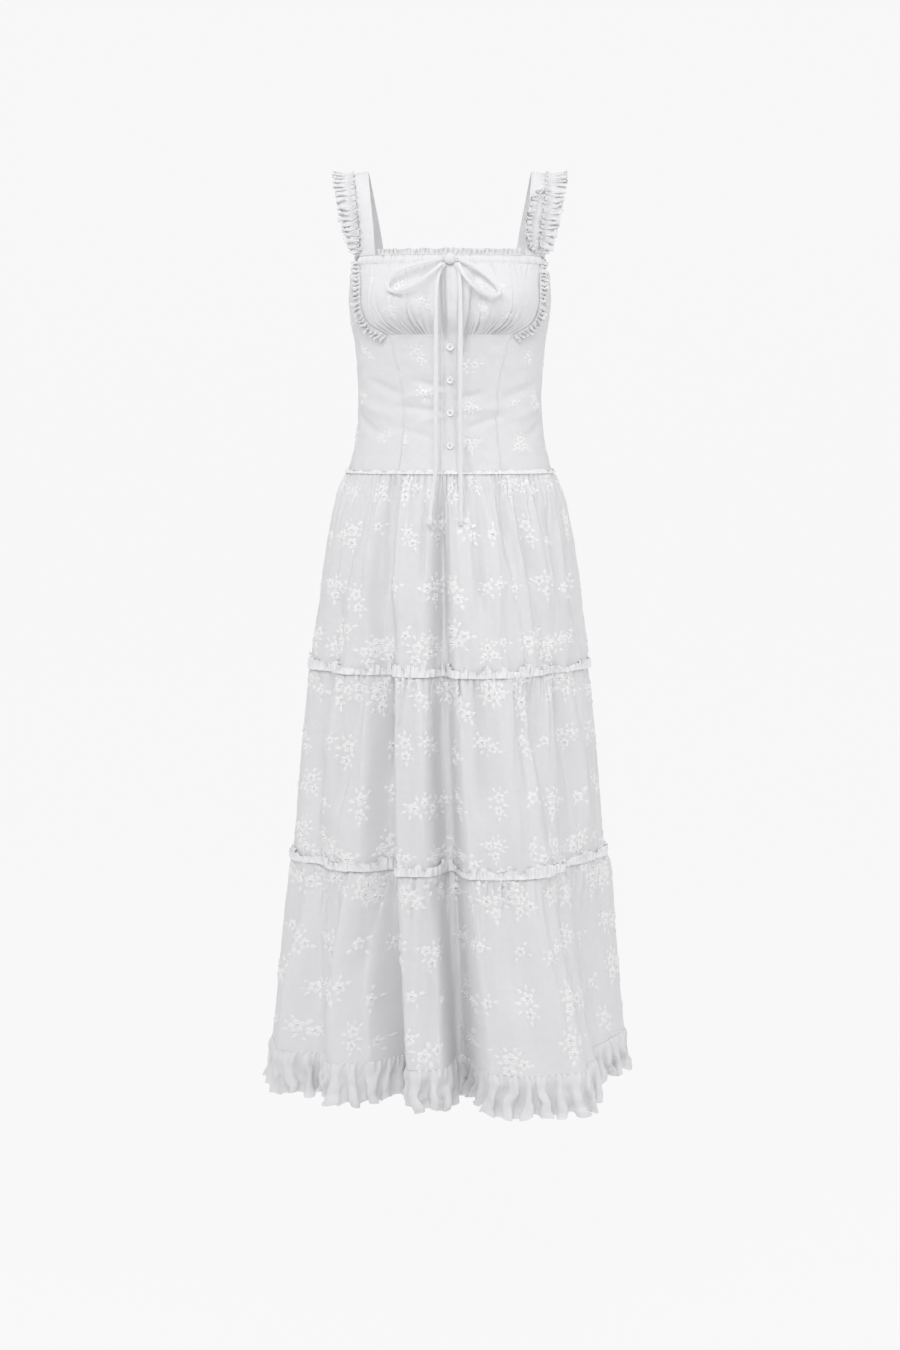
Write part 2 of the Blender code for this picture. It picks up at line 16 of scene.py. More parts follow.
import bmesh
import bpy
import numpy as np
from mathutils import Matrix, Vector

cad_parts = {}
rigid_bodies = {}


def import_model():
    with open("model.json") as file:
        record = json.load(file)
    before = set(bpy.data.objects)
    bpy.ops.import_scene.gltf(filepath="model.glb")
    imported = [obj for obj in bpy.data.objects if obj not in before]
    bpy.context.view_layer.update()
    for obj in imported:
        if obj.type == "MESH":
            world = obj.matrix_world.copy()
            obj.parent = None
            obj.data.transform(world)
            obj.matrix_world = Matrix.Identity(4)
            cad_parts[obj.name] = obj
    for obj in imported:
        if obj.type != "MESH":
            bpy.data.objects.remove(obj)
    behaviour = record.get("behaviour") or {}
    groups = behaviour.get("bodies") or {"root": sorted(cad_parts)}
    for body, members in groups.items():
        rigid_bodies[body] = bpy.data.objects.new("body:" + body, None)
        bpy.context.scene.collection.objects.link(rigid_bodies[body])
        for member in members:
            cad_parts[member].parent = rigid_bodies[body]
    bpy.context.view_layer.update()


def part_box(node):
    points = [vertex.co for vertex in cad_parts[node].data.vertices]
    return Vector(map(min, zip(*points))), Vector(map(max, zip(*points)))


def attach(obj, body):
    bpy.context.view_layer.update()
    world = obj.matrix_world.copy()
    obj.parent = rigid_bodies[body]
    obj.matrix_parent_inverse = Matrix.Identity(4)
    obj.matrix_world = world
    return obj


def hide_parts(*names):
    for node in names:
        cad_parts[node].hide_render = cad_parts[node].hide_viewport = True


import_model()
log = logging.getLogger("dress")
Grid = np.ndarray
Line = tuple[Grid, Grid]
Edge = Callable[[Grid], Grid]
Point = tuple[float, float, float]
Piece = bpy.types.Object
Material = bpy.types.Material
Socket = bpy.types.NodeSocket

# Heights down the dress
NECK_FRILL_TOP = -0.1118
CASING_TOP = -0.1200
CASING_BOTTOM = -0.1310
UNDERARM = -0.1410
UNDERBUST = -0.2280
DROP_WAIST = -0.4180
SEAM_ONE = -0.6950
SEAM_TWO = -0.9680
HEM_FRILL_TOP = -1.2370
HEM = -1.2930

SEAM_GAP = 0.0003
PLACKET_WIDTH = 0.026
CLOTH_THICKNESS = 0.0007
HIDDEN_LAYER_SHIFT = 10.0  # how far the inner layer lies aside on the flat map


def table(kind: type, *rows: tuple) -> tuple:
    """Names the columns of a table's plain rows."""
    return tuple(kind(*row) for row in rows)


class Section(NamedTuple):
    """A horizontal section of the dress."""

    height: float
    half_width: float
    front: float
    back: float
    squareness: float


SECTIONS = table(
    Section,
    (-0.1100, 0.1394, 0.098, 0.080, 2.5),
    (-0.1260, 0.1398, 0.104, 0.082, 2.5),
    (-0.1500, 0.1412, 0.116, 0.086, 2.5),
    (-0.1800, 0.1425, 0.126, 0.089, 2.5),
    (-0.2050, 0.1400, 0.121, 0.089, 2.5),
    (-0.2280, 0.1362, 0.103, 0.088, 2.5),
    (-0.2500, 0.1332, 0.096, 0.087, 2.5),
    (-0.2720, 0.1315, 0.092, 0.086, 2.5),
    (-0.3170, 0.1300, 0.088, 0.086, 2.5),
    (-0.3560, 0.1320, 0.091, 0.090, 2.4),
    (-0.3900, 0.1375, 0.097, 0.098, 2.4),
    (-0.4180, 0.1460, 0.105, 0.108, 2.3),
    (-0.4585, 0.1600, 0.117, 0.122, 2.2),
    (-0.5440, 0.1785, 0.134, 0.140, 2.1),
    (-0.6300, 0.1890, 0.145, 0.152, 2.0),
    (-0.6950, 0.1965, 0.152, 0.160, 2.0),
    (-0.8050, 0.2083, 0.163, 0.171, 2.0),
    (-0.9680, 0.2240, 0.177, 0.184, 2.0),
    (-1.0700, 0.2370, 0.186, 0.192, 2.0),
    (-1.1600, 0.2470, 0.193, 0.198, 2.0),
    (-1.2930, 0.2620, 0.200, 0.206, 2.0),
)


class Fold(NamedTuple):
    """A deep fold of the skirt: its angle in degrees from centre front, and its depth at the hem."""

    angle: float
    depth: float


FOLDS = table(
    Fold,
    (-165, -0.020),
    (-150, 0.022),
    (-134, -0.030),
    (-118, 0.016),
    (-103, -0.012),
    (-84, 0.004),
    (-67, 0.016),
    (-57, -0.024),
    (-43, 0.010),
    (-34, -0.016),
    (-24, -0.105),
    (-15, 0.004),
    (-3, 0.000),
    (9, -0.112),
    (16, 0.030),
    (28, 0.052),
    (43, 0.060),
    (53, 0.026),
    (65, -0.030),
    (80, -0.020),
    (97, 0.004),
    (113, -0.024),
    (128, 0.018),
    (143, -0.030),
    (159, 0.020),
    (177, -0.026),
    (195, -0.020),
)


class Spread(NamedTuple):
    """The share of a fold's hem depth at a height."""

    height: float
    share: float


SPREADS = table(
    Spread,
    (-0.418, 0.00),
    (-0.550, 0.13),
    (-0.695, 0.29),
    (-0.805, 0.39),
    (-0.968, 0.57),
    (-1.100, 0.75),
    (-1.237, 0.93),
    (-1.293, 1.00),
)


class SeamPoint(NamedTuple):
    """A point of the curved seam beside a cup: its height, and its angle in degrees."""

    height: float
    angle: float


CUP_SEAM = table(
    SeamPoint,
    (-0.112, 66.0),
    (-0.131, 64.0),
    (-0.150, 60.0),
    (-0.175, 57.0),
    (-0.200, 56.0),
    (-0.215, 53.0),
    (-0.228, 45.5),
    (-0.260, 42.0),
    (-0.418, 37.0),
)


class StrapPoint(NamedTuple):
    """A point of the middle line of the left strap, from front to back."""

    along: float
    x: float
    y: float
    z: float
    turn: float


STRAP = table(
    StrapPoint,
    (0.00, 0.1150, -0.0655, -0.1193, 42.0),
    (0.20, 0.1195, -0.0600, -0.0780, 33.0),
    (0.35, 0.1255, -0.0440, -0.0310, 20.0),
    (0.50, 0.1290, -0.0060, -0.0012, 5.0),
    (0.65, 0.1240, 0.0370, -0.0280, -10.0),
    (0.80, 0.1140, 0.0580, -0.0780, -22.0),
    (1.00, 0.1040, 0.0668, -0.1403, -32.0),
)


class TieRow(NamedTuple):
    """A level of the two ties: where each of them is across, and their depth and height."""

    right: float
    left: float
    y: float
    z: float


class RoutedPoint(NamedTuple):
    """A point of a route with its distance from the route's start."""

    reach: float
    x: float
    y: float
    z: float


TIE_ROWS = table(
    TieRow,
    (-0.0068, 0.0068, -0.1098, -0.1330),
    (-0.0130, 0.0110, -0.1170, -0.1400),
    (-0.0175, 0.0130, -0.1240, -0.1560),
    (-0.0190, 0.0140, -0.1300, -0.1800),
    (-0.0192, 0.0142, -0.1320, -0.2200),
    (-0.0193, 0.0142, -0.1310, -0.2900),
    (-0.0193, 0.0143, -0.1290, -0.3600),
    (-0.0198, 0.0145, -0.1280, -0.4150),
    (-0.0245, 0.0148, -0.1300, -0.4480),
    (-0.0287, 0.0150, -0.1330, -0.4890),
)
TIE_ROUTES = {
    "tie_right": [(row.right, row.y, row.z) for row in TIE_ROWS],
    "tie_left": [(row.left, row.y, row.z) for row in TIE_ROWS],
}
LOOP_ROUTES = {
    "bow_loop_right": (
        (-0.0094, -0.1098, -0.1265),
        (-0.0350, -0.1230, -0.1320),
        (-0.0650, -0.1260, -0.1410),
        (-0.0830, -0.1210, -0.1560),
        (-0.0850, -0.1220, -0.1660),
        (-0.0740, -0.1290, -0.1720),
        (-0.0520, -0.1360, -0.1660),
        (-0.0290, -0.1320, -0.1490),
        (-0.0105, -0.1190, -0.1325),
    ),
    "bow_loop_left": (
        (0.0094, -0.1098, -0.1265),
        (0.0290, -0.1230, -0.1350),
        (0.0470, -0.1290, -0.1480),
        (0.0630, -0.1310, -0.1640),
        (0.0670, -0.1320, -0.1740),
        (0.0570, -0.1370, -0.1780),
        (0.0390, -0.1390, -0.1700),
        (0.0210, -0.1320, -0.1520),
        (0.0105, -0.1190, -0.1325),
    ),
}


class Crease(NamedTuple):
    """A soft crease in the cloth, as a long dent or ridge laid on the surface.

    Its middle lies at an angle in degrees from centre front and a height. length and width
    are half sizes, tilt leans it from upright in degrees, and depth is negative for a dent.
    """

    angle: float
    height: float
    length: float
    width: float
    tilt: float
    depth: float


BODICE_CREASES = table(
    Crease,
    (-17, -0.296, 0.030, 0.0045, 80, -0.0026),
    (-20, -0.309, 0.034, 0.0050, 97, 0.0024),
    (-24, -0.330, 0.040, 0.0050, 84, -0.0029),
    (-14, -0.343, 0.026, 0.0045, 98, 0.0022),
    (-30, -0.362, 0.034, 0.0055, 76, -0.0022),
    (-52, -0.300, 0.030, 0.0060, 66, -0.0029),
    (-60, -0.330, 0.032, 0.0065, 72, 0.0026),
    (-66, -0.352, 0.030, 0.0060, 60, -0.0029),
    (18, -0.312, 0.028, 0.0050, 100, -0.0022),
    (24, -0.330, 0.036, 0.0055, 92, 0.0024),
    (30, -0.347, 0.034, 0.0050, 106, -0.0027),
    (15, -0.365, 0.024, 0.0050, 86, 0.0018),
    (56, -0.305, 0.030, 0.0060, 112, -0.0029),
    (63, -0.334, 0.030, 0.0060, 108, 0.0024),
    (69, -0.357, 0.028, 0.0060, 118, -0.0027),
    (150, -0.300, 0.045, 0.0070, 84, -0.0029),
    (172, -0.322, 0.055, 0.0070, 96, 0.0029),
    (196, -0.340, 0.050, 0.0070, 88, -0.0030),
    (-158, -0.275, 0.036, 0.0070, 78, -0.0024),
    (128, -0.345, 0.040, 0.0075, 70, -0.0029),
    (-126, -0.342, 0.040, 0.0075, 112, -0.0029),
    (-36, -0.392, 0.016, 0.0050, 10, -0.0014),
    (27, -0.396, 0.014, 0.0050, -8, -0.0012),
    (-72, -0.250, 0.020, 0.0050, 40, -0.0013),
    (-4.6, -0.188, 0.050, 0.0046, 2, -0.0125),
    (1.2, -0.180, 0.050, 0.0040, 1, 0.0022),
    (6.0, -0.196, 0.030, 0.0030, -3, -0.0030),
    (14.0, -0.200, 0.062, 0.0052, -3, -0.0080),
    (-14.0, -0.205, 0.026, 0.0040, 5, -0.0030),
    (13.5, -0.398, 0.020, 0.0050, 0, -0.0046),
    (-5.0, -0.330, 0.060, 0.0040, 1, -0.0026),
    (5.0, -0.355, 0.050, 0.0040, -1, -0.0022),
    (70, -0.252, 0.020, 0.0050, -38, -0.0013),
)

SKIRT_CREASES = table(
    Crease,
    (-58, -0.520, 0.075, 0.011, -9, -0.0071),
    (-47, -0.548, 0.080, 0.010, -5, 0.0041),
    (-37, -0.530, 0.075, 0.009, -4, -0.0068),
    (-27, -0.560, 0.095, 0.011, -2, 0.0041),
    (-17, -0.512, 0.060, 0.009, 0, -0.0058),
    (-5, -0.560, 0.110, 0.012, 2, -0.0150),
    (5, -0.552, 0.105, 0.012, 2, 0.0055),
    (15, -0.528, 0.080, 0.009, 3, -0.0065),
    (24, -0.550, 0.095, 0.012, 4, 0.0048),
    (34, -0.500, 0.055, 0.010, 5, -0.0078),
    (45, -0.515, 0.070, 0.010, 7, -0.0099),
    (53, -0.545, 0.075, 0.012, 8, 0.0053),
    (64, -0.525, 0.065, 0.012, 9, -0.0078),
    (-72, -0.570, 0.085, 0.014, -8, 0.0048),
    (-66, -0.640, 0.055, 0.012, -6, -0.0068),
    (-31, -0.655, 0.050, 0.012, -3, -0.0061),
    (30, -0.640, 0.060, 0.013, 4, -0.0071),
    (77, -0.600, 0.080, 0.014, 8, -0.0075),
    (-70, -0.800, 0.105, 0.014, -6, -0.0134),
    (-61, -0.820, 0.110, 0.013, -5, 0.0070),
    (-51, -0.795, 0.095, 0.012, -4, -0.0115),
    (-42, -0.850, 0.115, 0.014, -3, 0.0066),
    (-34, -0.772, 0.075, 0.011, -3, -0.0101),
    (-14, -0.830, 0.120, 0.014, 0, 0.0070),
    (14, -0.790, 0.095, 0.012, 2, -0.0119),
    (24, -0.850, 0.115, 0.014, 3, 0.0072),
    (33, -0.775, 0.080, 0.012, 4, -0.0124),
    (43, -0.830, 0.120, 0.013, 5, -0.0147),
    (52, -0.805, 0.110, 0.014, 6, 0.0074),
    (62, -0.780, 0.090, 0.012, 7, -0.0128),
    (72, -0.850, 0.110, 0.014, 7, 0.0070),
    (-74, -1.080, 0.110, 0.016, -5, -0.0142),
    (-66, -1.120, 0.105, 0.014, -4, 0.0074),
    (-52, -1.060, 0.090, 0.013, -3, -0.0134),
    (-46, -1.110, 0.120, 0.014, -3, 0.0072),
    (-38, -1.040, 0.070, 0.011, -2, -0.0105),
    (-8, -1.090, 0.130, 0.013, 0, -0.0088),
    (0, -1.060, 0.090, 0.014, 0, 0.0036),
    (22, -1.060, 0.090, 0.014, 2, -0.0115),
    (33, -1.120, 0.115, 0.015, 3, 0.0078),
    (38, -1.045, 0.075, 0.012, 4, -0.0115),
    (48, -1.100, 0.115, 0.015, 4, -0.0142),
    (58, -1.070, 0.095, 0.014, 5, 0.0072),
    (72, -1.120, 0.105, 0.016, 5, -0.0138),
)


def srgb(code: str) -> tuple[float, float, float, float]:
    """Turns a sRGB hex colour to linear.

    Args:
        code: six hex digits.

    Returns:
        Linear red, green and blue, with an alpha of 1.
    """
    values = np.array([int(code[i : i + 2], 16) for i in (0, 2, 4)]) / 255
    linear = np.where(values <= 0.04045, values / 12.92, ((values + 0.055) / 1.055) ** 2.4)
    return (*(float(v) for v in linear), 1.0)


def bracket(at: Grid, rows: Sequence, column: str) -> tuple[Grid, Grid, Grid, Grid]:
    """Finds where places fall between the rows of a table, whose first column they are in.

    Args:
        at: the places.
        rows: the table, in order of its first column.
        column: the column that is wanted.

    Returns:
        The table's places and values, each place's row, and the place itself kept in range.
    """
    places = np.array([row[0] for row in rows], float)
    values = np.array([getattr(row, column) for row in rows], float)
    if places[0] > places[-1]:
        places, values = places[::-1], values[::-1]
    at = np.clip(at, places[0], places[-1])
    index = np.clip(np.searchsorted(places, at) - 1, 0, len(places) - 2)
    return places, values, index, at


def eased(at: Grid, rows: Sequence, column: str) -> Grid:
    """Reads a table's column between its rows, with a smooth turn at each row.

    Args:
        at: the places.
        rows: the table.
        column: the column that is wanted.

    Returns:
        The column's value at each place.
    """
    places, values, index, at = bracket(at, rows, column)
    share = (at - places[index]) / (places[index + 1] - places[index])
    share = (1 - np.cos(pi * share)) / 2
    return values[index] * (1 - share) + values[index + 1] * share


def smooth(at: Grid, rows: Sequence, column: str) -> Grid:
    """Reads a table's column as one soft curve through its rows.

    Args:
        at: the places.
        rows: the table.
        column: the column that is wanted.

    Returns:
        The column's value at each place.
    """
    places, values, index, at = bracket(at, rows, column)
    slopes = np.gradient(values, places)
    step = places[index + 1] - places[index]
    t = (at - places[index]) / step
    return (
        (2 * t**3 - 3 * t**2 + 1) * values[index]
        + (t**3 - 2 * t**2 + t) * step * slopes[index]
        + (3 * t**2 - 2 * t**3) * values[index + 1]
        + (t**3 - t**2) * step * slopes[index + 1]
    )


def unit(vectors: Grid) -> Grid:
    """Scales vectors to a length of one."""
    return vectors / np.linalg.norm(vectors, axis=-1, keepdims=True)


def placed(angle: Grid, radius: Grid, height: Grid) -> Grid:
    """Gives the points at angles from centre front, radii and heights."""
    return np.stack(
        np.broadcast_arrays(radius * np.sin(angle), -radius * np.cos(angle), height), -1
    )


def level_out(points: Grid) -> Grid:
    """Gives the level unit vectors from the dress's middle line towards points."""
    return unit(points * np.array((1.0, 1.0, 0.0)))


def travelled(line: Grid) -> Grid:
    """Gives the distance along a line of points, at each of them."""
    return np.append(0, np.cumsum(np.linalg.norm(np.diff(line, axis=0), axis=-1)))


def spaced(first: int, second: int) -> tuple[Grid, Grid]:
    """Gives the shares from 0 to 1 of a grid's columns and of its rows, at each point."""
    return np.meshgrid(np.linspace(0, 1, first), np.linspace(0, 1, second), indexing="ij")


def spaced_round(columns: int, up: Grid) -> tuple[Grid, Grid]:
    """Gives the turns round a closed grid and the places up it, at each point."""
    return np.meshgrid(np.linspace(-0.5, 0.5, columns, endpoint=False), up, indexing="ij")


def soft_noise(u: Grid, v: Grid, seed: int) -> Grid:
    """Gives smooth noise from -1 to 1 over a plane, whose cells are one unit wide.

    Args:
        u: places across the plane.
        v: places up the plane.
        seed: the fixed seed of this noise.

    Returns:
        The noise at each place.
    """
    size = 256
    lattice = np.random.default_rng(seed).uniform(-1, 1, (size, size))
    cell_u, cell_v = np.floor(u).astype(int), np.floor(v).astype(int)
    share_u, share_v = u - cell_u, v - cell_v
    share_u = share_u**2 * (3 - 2 * share_u)
    share_v = share_v**2 * (3 - 2 * share_v)
    low = lattice[cell_u % size, cell_v % size] * (1 - share_u)
    low = low + lattice[(cell_u + 1) % size, cell_v % size] * share_u
    high = lattice[cell_u % size, (cell_v + 1) % size] * (1 - share_u)
    high = high + lattice[(cell_u + 1) % size, (cell_v + 1) % size] * share_u
    return low * (1 - share_v) + high * share_v


def crease_relief(creases: Sequence[Crease], angle: Grid, height: Grid, radius: Grid) -> Grid:
    """Adds up what creases raise or sink the cloth by.

    Args:
        creases: the creases.
        angle: angles from centre front, in radians.
        height: heights.
        radius: the dress's radius there.

    Returns:
        The height of the relief, in metres.
    """
    total = np.zeros(np.broadcast(angle, height).shape)
    for crease in creases:
        turn = (angle - radians(crease.angle) + pi) % (2 * pi) - pi
        across, up = turn * radius, height - crease.height
        lean = radians(crease.tilt)
        along = up * np.cos(lean) - across * np.sin(lean)
        aside = across * np.cos(lean) + up * np.sin(lean)
        fade = np.exp(-((along / crease.length) ** 4))
        total += crease.depth * np.exp(-((aside / crease.width) ** 2)) * fade
    return total


@dataclass(frozen=True)
class Gathers:
    """Uneven gathers: narrow dents that run from a sewn edge and open out away from it."""

    count: int
    seed: int
    depth: float
    length: float
    width: float
    rise: float = 0.004
    bulge: float = 0.42

    def relief(self, turn: Grid, away: Grid) -> Grid:
        """Works out how far the gathers stand out.

        Args:
            turn: places along the sewn edge, from 0 to 1.
            away: distances from the sewn edge, in metres.

        Returns:
            The height of the gathers, in metres.
        """
        rng = np.random.default_rng(self.seed)
        total = np.zeros(np.broadcast(turn, away).shape)
        for number in range(self.count):
            centre = (number + rng.uniform(-0.45, 0.45)) / self.count
            depth = self.depth * rng.uniform(0.4, 1.6)
            length = self.length * 2 ** rng.uniform(-1.2, 1.2)
            width = self.width * rng.uniform(0.7, 1.4) / self.count
            lean = rng.uniform(-0.7, 0.7) / self.count
            shift = (turn - centre - lean * away / self.length + 0.5) % 1 - 0.5
            spread = width * (1 + 0.8 * away / length)
            fade = np.exp(-((away / length) ** 1.6))
            total -= depth * np.exp(-((shift / spread) ** 2)) * fade
            total += self.bulge * depth * np.exp(-((shift / spread / 2.6) ** 2)) * fade
        return total * (1 - 0.75 * np.exp(-away / self.rise))


@dataclass(frozen=True)
class BodiceForm:
    """The shape of the dress from the neckline to the drop waist."""

    bust_height: float = -0.180
    bust_reach: float = 0.036
    cup_fullness: float = 0.006
    cup_angle: float = 33.0
    cup_angle_reach: float = 17.0
    dip_depth: float = 0.009
    dip_angle_reach: float = 15.0

    def radius(self, angle: Grid, height: Grid) -> Grid:
        """Gives the radius of the plain section at angles and heights."""
        columns = ("half_width", "front", "back", "squareness")
        half_width, front, back, power = (smooth(height, SECTIONS, name) for name in columns)
        depth = np.where(np.cos(angle) > 0, front, back)
        across = (np.abs(np.sin(angle)) / half_width) ** power
        along = (np.abs(np.cos(angle)) / depth) ** power
        return (across + along) ** (-1 / power)

    def point(self, angle: Grid, height: Grid, relief: Grid | float = 0.0) -> Grid:
        """Gives points of the bodice, with the cups' fullness and the dip between them.

        Args:
            angle: angles from centre front, in radians.
            height: heights.
            relief: how far out of the plain bodice each point lies.

        Returns:
            The points.
        """
        fullness = np.exp(-(((height - self.bust_height) / self.bust_reach) ** 2))
        dip = np.exp(-((angle / radians(self.dip_angle_reach)) ** 2))
        off_apex = (np.abs(angle) - radians(self.cup_angle)) / radians(self.cup_angle_reach)
        swell = self.cup_fullness * np.exp(-(off_apex**2)) - self.dip_depth * dip
        return placed(angle, self.radius(angle, height) + fullness * swell + relief, height)

    def placket_edge(self, height: Grid) -> Grid:
        """Gives the angle at which the placket ends and the fronts begin."""
        return np.arctan2(PLACKET_WIDTH / 2, smooth(height, SECTIONS, "front"))

    def cup_seam(self, height: Grid) -> Grid:
        """Gives the angle of the seam beside a cup, which goes on below as the front seam."""
        return np.radians(smooth(height, CUP_SEAM, "angle"))


def beside(line: Edge, gap: float, side: int = 1) -> Edge:
    """Gives the edge of cloth that ends a gap away from a seam's line.

    Args:
        line: the seam, as an angle at each height.
        gap: the angle between the seam and the edge.
        side: 1 for the wearer's left, and -1 for their right.

    Returns:
        The edge, as an angle at each height.
    """
    return lambda height: side * (line(height) + gap)


def upright(angle: float) -> Edge:
    """Gives a seam that runs straight down at one angle."""
    return lambda height: angle + 0 * height


BODICE_FORM = BodiceForm()
HALF_GAP = SEAM_GAP / 2 / 0.13
SIDE_SEAM = radians(98.0)


@dataclass(frozen=True)
class SkirtForm:
    """The shape of the skirt: its sections and its deep folds."""

    fold_lean: float = 17.0
    deepest: float = 0.080  # the cloth bridges the narrow bottom of the two deepest folds
    bridge: float = 0.013
    front_crowding: float = 0.42

    def angle(self, turn: Grid) -> Grid:
        """Gives the angle for a turn from -0.5 to 0.5, with columns closer at the front."""
        around = 2 * pi * turn
        return around - self.front_crowding * np.sin(around)

    def point(self, turn: Grid, height: Grid, relief: Grid | float = 0.0) -> Grid:
        """Gives points of the skirt.

        Args:
            turn: turns from centre back through centre front, from -0.5 to 0.5.
            height: heights.
            relief: how far out of the plain skirt each point lies.

        Returns:
            The points.
        """
        angle = self.angle(turn)
        share = smooth(height, SPREADS, "share")
        lean = radians(self.fold_lean) * (1 - share)
        around = np.degrees((angle + lean + radians(165)) % (2 * pi)) - 165
        folds = eased(around, FOLDS, "depth")
        over = (folds + self.deepest) / self.bridge
        folds = (self.bridge * np.logaddexp(over, 0.0) - self.deepest) * share
        radius = BODICE_FORM.radius(angle, height)
        return placed(angle, radius + folds + relief, height)


SKIRT_FORM = SkirtForm()


def grid_normals(points: Grid, closed: bool) -> Grid:
    """Works out outward unit normals on a grid of points.

    Args:
        points: the grid, running round the body first and up it second.
        closed: whether its last column joins its first.

    Returns:
        The normals.
    """
    if closed:
        across = np.roll(points, -1, 0) - np.roll(points, 1, 0)
    else:
        across = np.gradient(points, axis=0)
    return unit(np.cross(across, np.gradient(points, axis=1)))


def flat_map(points: Grid, closed: bool) -> Grid:
    """Lays a grid of points out flat, in metres, from its middle column and its top row.

    Args:
        points: the grid.
        closed: whether its last column joins its first, in which case the map repeats it.

    Returns:
        Two flat numbers for each point.
    """
    ring = np.concatenate([points, points[:1]]) if closed else points
    middle = ring[:, ring.shape[1] // 2]
    across = travelled(middle)
    across -= across[len(across) // 2]
    steps = np.linalg.norm(np.diff(ring, axis=1), axis=-1).mean(0)
    up = np.append(0, np.cumsum(steps))
    return np.stack(np.meshgrid(across, up - up[-1], indexing="ij"), -1)


def corners(grid: Grid, order: Sequence[int]) -> Grid:
    """Gives the four corners of each cell of a grid.

    Args:
        grid: the grid, of numbers or of vectors.
        order: the order of the corners: 0 is this one, 1 the next column's, 2 the next
            column's next row, and 3 this column's next row.

    Returns:
        One row of four corners for each cell.
    """
    around = (grid[:-1, :-1], grid[1:, :-1], grid[1:, 1:], grid[:-1, 1:])
    cells = np.stack([around[k] for k in order], 2)
    return cells.reshape(-1, *cells.shape[2:])


def new_piece(name: str, mesh: bpy.types.Mesh) -> Piece:
    """Adds a mesh to the scene as an object at the origin."""
    piece = bpy.data.objects.new(name, mesh)
    bpy.context.scene.collection.objects.link(piece)
    return piece


def mesh_from(name: str, points: Grid, faces: Grid, flat: Grid | None = None) -> bpy.types.Mesh:
    """Makes a smooth mesh.

    Args:
        name: the mesh's name.
        points: its points.
        faces: a row of points for each face.
        flat: the flat map at each face's corners.

    Returns:
        The mesh.
    """
    mesh = bpy.data.meshes.new(name)
    mesh.from_pydata(points.tolist(), [], faces.tolist())
    if flat is not None:
        layer = mesh.uv_layers.new(name="UVMap")
        layer.uv.foreach_set("vector", flat.astype(np.float32).ravel())
    mesh.shade_smooth()
    mesh.set_sharp_from_angle(angle=radians(60))
    return mesh


def mesh_of(name: str, shape: bmesh.types.BMesh) -> bpy.types.Mesh:
    """Turns a finished shape to a mesh, and frees it."""
    mesh = bpy.data.meshes.new(name)
    shape.to_mesh(mesh)
    shape.free()
    return mesh


def cloth_shell(
    name: str, outer: Grid, closed: bool = False, values: dict[str, Grid] | None = None
) -> Piece:
    """Makes a closed thin shell of cloth from the grid of its outer points.

    Args:
        name: the piece's name.
        outer: its outer points, round the body first and up it second.
        closed: whether its last column joins its first.
        values: named numbers or vectors at the outer points, kept on both layers.

    Returns:
        The piece, with a flat map in metres called UVMap.
    """
    inner = outer - CLOTH_THICKNESS * grid_normals(outer, closed)
    columns, rows = outer.shape[:2]
    index = np.arange(columns * rows).reshape(columns, rows)
    if closed:
        index = np.concatenate([index, index[:1]])
    hidden = index + columns * rows
    flat = flat_map(outer, closed)
    aside = flat - np.array((HIDDEN_LAYER_SHIFT, 0.0))
    way, back = (0, 1, 2, 3), (0, 3, 2, 1)
    faces = [corners(index, way), corners(hidden, back)]
    maps = [corners(flat, way), corners(aside, back)]
    rims = [(np.s_[:, 0], (0, -CLOTH_THICKNESS), back), (np.s_[:, -1], (0, CLOTH_THICKNESS), way)]
    if not closed:
        rims += [(0, (-CLOTH_THICKNESS, 0), way), (-1, (CLOTH_THICKNESS, 0), back)]
    for rim, shift, order in rims:
        faces.append(corners(np.stack([index[rim], hidden[rim]], 1), order))
        maps.append(corners(np.stack([flat[rim], flat[rim] + np.array(shift)], 1), order))
    points = np.concatenate([outer.reshape(-1, 3), inner.reshape(-1, 3)])
    mesh = mesh_from(name, points, np.concatenate(faces), np.concatenate(maps))
    for key, value in (values or {}).items():
        kind, slot = ("FLOAT_VECTOR", "vector") if value.ndim == 3 else ("FLOAT", "value")
        both = np.concatenate([value.reshape(columns * rows, -1)] * 2)
        mesh.attributes.new(key, kind, "POINT").data.foreach_set(slot, both.ravel())
    return new_piece(name, mesh)


def mirrored(grid: Grid) -> Grid:
    """Gives a grid of points or vectors on the wearer's right, still facing out."""
    return grid[::-1] * np.array((-1.0, 1.0, 1.0))


